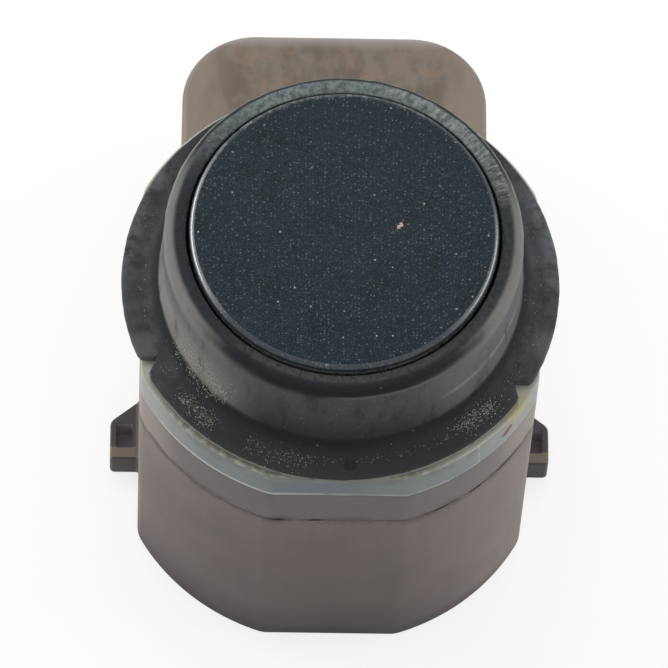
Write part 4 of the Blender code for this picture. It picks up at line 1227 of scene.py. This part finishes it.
def seam_crumbs(draw):
    """Spots of black-brown dirt along the front of the seam, thickest left of the middle and at the right."""
    outline = plan(0.05)
    sides = list(zip(outline, outline[1:] + outline[:1]))
    lengths = [hypot(end[0] - start[0], end[1] - start[1]) for start, end in sides]
    spots = []
    for start, end in draw.choices(sides, lengths, k=900):
        share = draw.random()
        x = start[0] + (end[0] - start[0]) * share
        y = start[1] + (end[1] - start[1]) * share
        if y < -5.0 and (-3.2 < x < -0.8 or x > 4.2 or draw.random() < 0.08):
            spots.append(((x, y, draw.uniform(BODY_TOP_Z - 0.03, FRAME_BOTTOM_Z)), draw.uniform(0.02, 0.055)))
    return spots


def add_crumbs():
    draw = random.Random(11)
    pale = grain_finish("pale_grit", (0.54, 0.53, 0.46), 0.9, variety=0.5, size=0.1)
    grey = grain_finish("grey_grit", (0.15, 0.16, 0.14), 0.9, variety=0.5, size=0.1)
    dark = grain_finish("dark_grit", (0.040, 0.030, 0.026), 0.9, variety=0.5, size=0.1)
    add_piece(crumb_mesh("ring_crumbs", ring_crumbs(draw), 2), pale)
    add_piece(crumb_mesh("gap_crumbs", gap_crumbs(draw), 1), grey)
    add_piece(crumb_mesh("seam_crumbs", seam_crumbs(draw), 4), dark)


def add_face_chip():
    """The pinkish chip in the paint, its brown tips and the greenish specks beside it."""
    pink = grain_finish("chip_pink", (0.62, 0.43, 0.37), 0.7, variety=0.3, size=0.1)
    brown = grain_finish("chip_brown", (0.20, 0.085, 0.045), 0.8, variety=0.3, size=0.1)
    olive = grain_finish("chip_olive", (0.10, 0.11, 0.055), 0.8, variety=0.4, size=0.1)
    chip = seen_at(FACE_CHIP_PX, FACE_Z)
    slant = Vector((0.52, 0.85, 0.0))
    bodies = [(chip - slant * 0.12, 0.13), (chip + slant * 0.10, 0.14), (chip + Vector((0.08, 0.0, 0.0)), 0.10)]
    tips = [(chip + slant * 0.30, 0.08), (chip - slant * 0.30, 0.07)]
    trail = seen_at(FACE_TRAIL_PX, FACE_Z)
    draw = random.Random(7)
    specks = [(trail + Vector((draw.gauss(0, 0.12), draw.gauss(0, 0.09), 0.0)), draw.uniform(0.02, 0.045))
              for _ in range(14)]
    for name, spots, finish in (("chip", bodies, pink), ("chip_tips", tips, brown), ("chip_trail", specks, olive)):
        flat = crumb_mesh(name, spots, 5)
        for vertex in flat.vertices:
            vertex.co.z *= 0.35
        add_piece(flat, finish)


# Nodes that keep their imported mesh

NODE_FINISHES = {
    "potting": (("rear_potting",), (0.022, 0.022, 0.024), 0.42, 0.0),
    "piezo_ceramic": (("piezo_disc",), (0.62, 0.58, 0.46), 0.5, 0.0),
    "copper_wire": (("piezo_lead_left", "piezo_lead_right", "transformer_winding"), (0.60, 0.27, 0.11), 0.35, 1.0),
    "soft_filler": (("damping_plug",), (0.42, 0.42, 0.40), 0.9, 0.0),
    "black_plastic": (
        ("contact_carrier", "control_chip", "diode", "resistor_1", "resistor_2", "resistor_3", "transformer_base"),
        (0.030, 0.030, 0.033), 0.5, 0.0,
    ),
    "tinned_contact": (
        ("contact_post_left", "contact_post_right", "quartz_crystal",
         "socket_pin_1", "socket_pin_2", "socket_pin_3"),
        (0.70, 0.67, 0.60), 0.28, 1.0,
    ),
    "board_laminate": (("circuit_board",), (0.04, 0.18, 0.10), 0.4, 0.0),
    "tan_ceramic": (
        ("storage_capacitor", "filter_capacitor_1", "filter_capacitor_2"),
        (0.40, 0.29, 0.18), 0.55, 0.0,
    ),
    "ferrite": (("transformer_core",), (0.06, 0.06, 0.065), 0.6, 0.0),
}


def finish_nodes():
    for slot, (names, colour, roughness, metallic) in NODE_FINISHES.items():
        finish = grain_finish(slot, colour, roughness, metallic)
        for name in names:
            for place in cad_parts[name].material_slots:
                place.link = "OBJECT"
                place.material = finish


def make_scene():
    bpy.context.scene.view_settings.view_transform = "Standard"
    add_camera()
    add_world()
    add_light()
    add_floor()
    shell = housing_finish()
    make_cup()
    make_ring()
    make_plate()
    make_frame(shell)
    make_housing(shell)
    make_seam_dirt()
    add_crumbs()
    add_face_chip()
    finish_nodes()


make_scene()
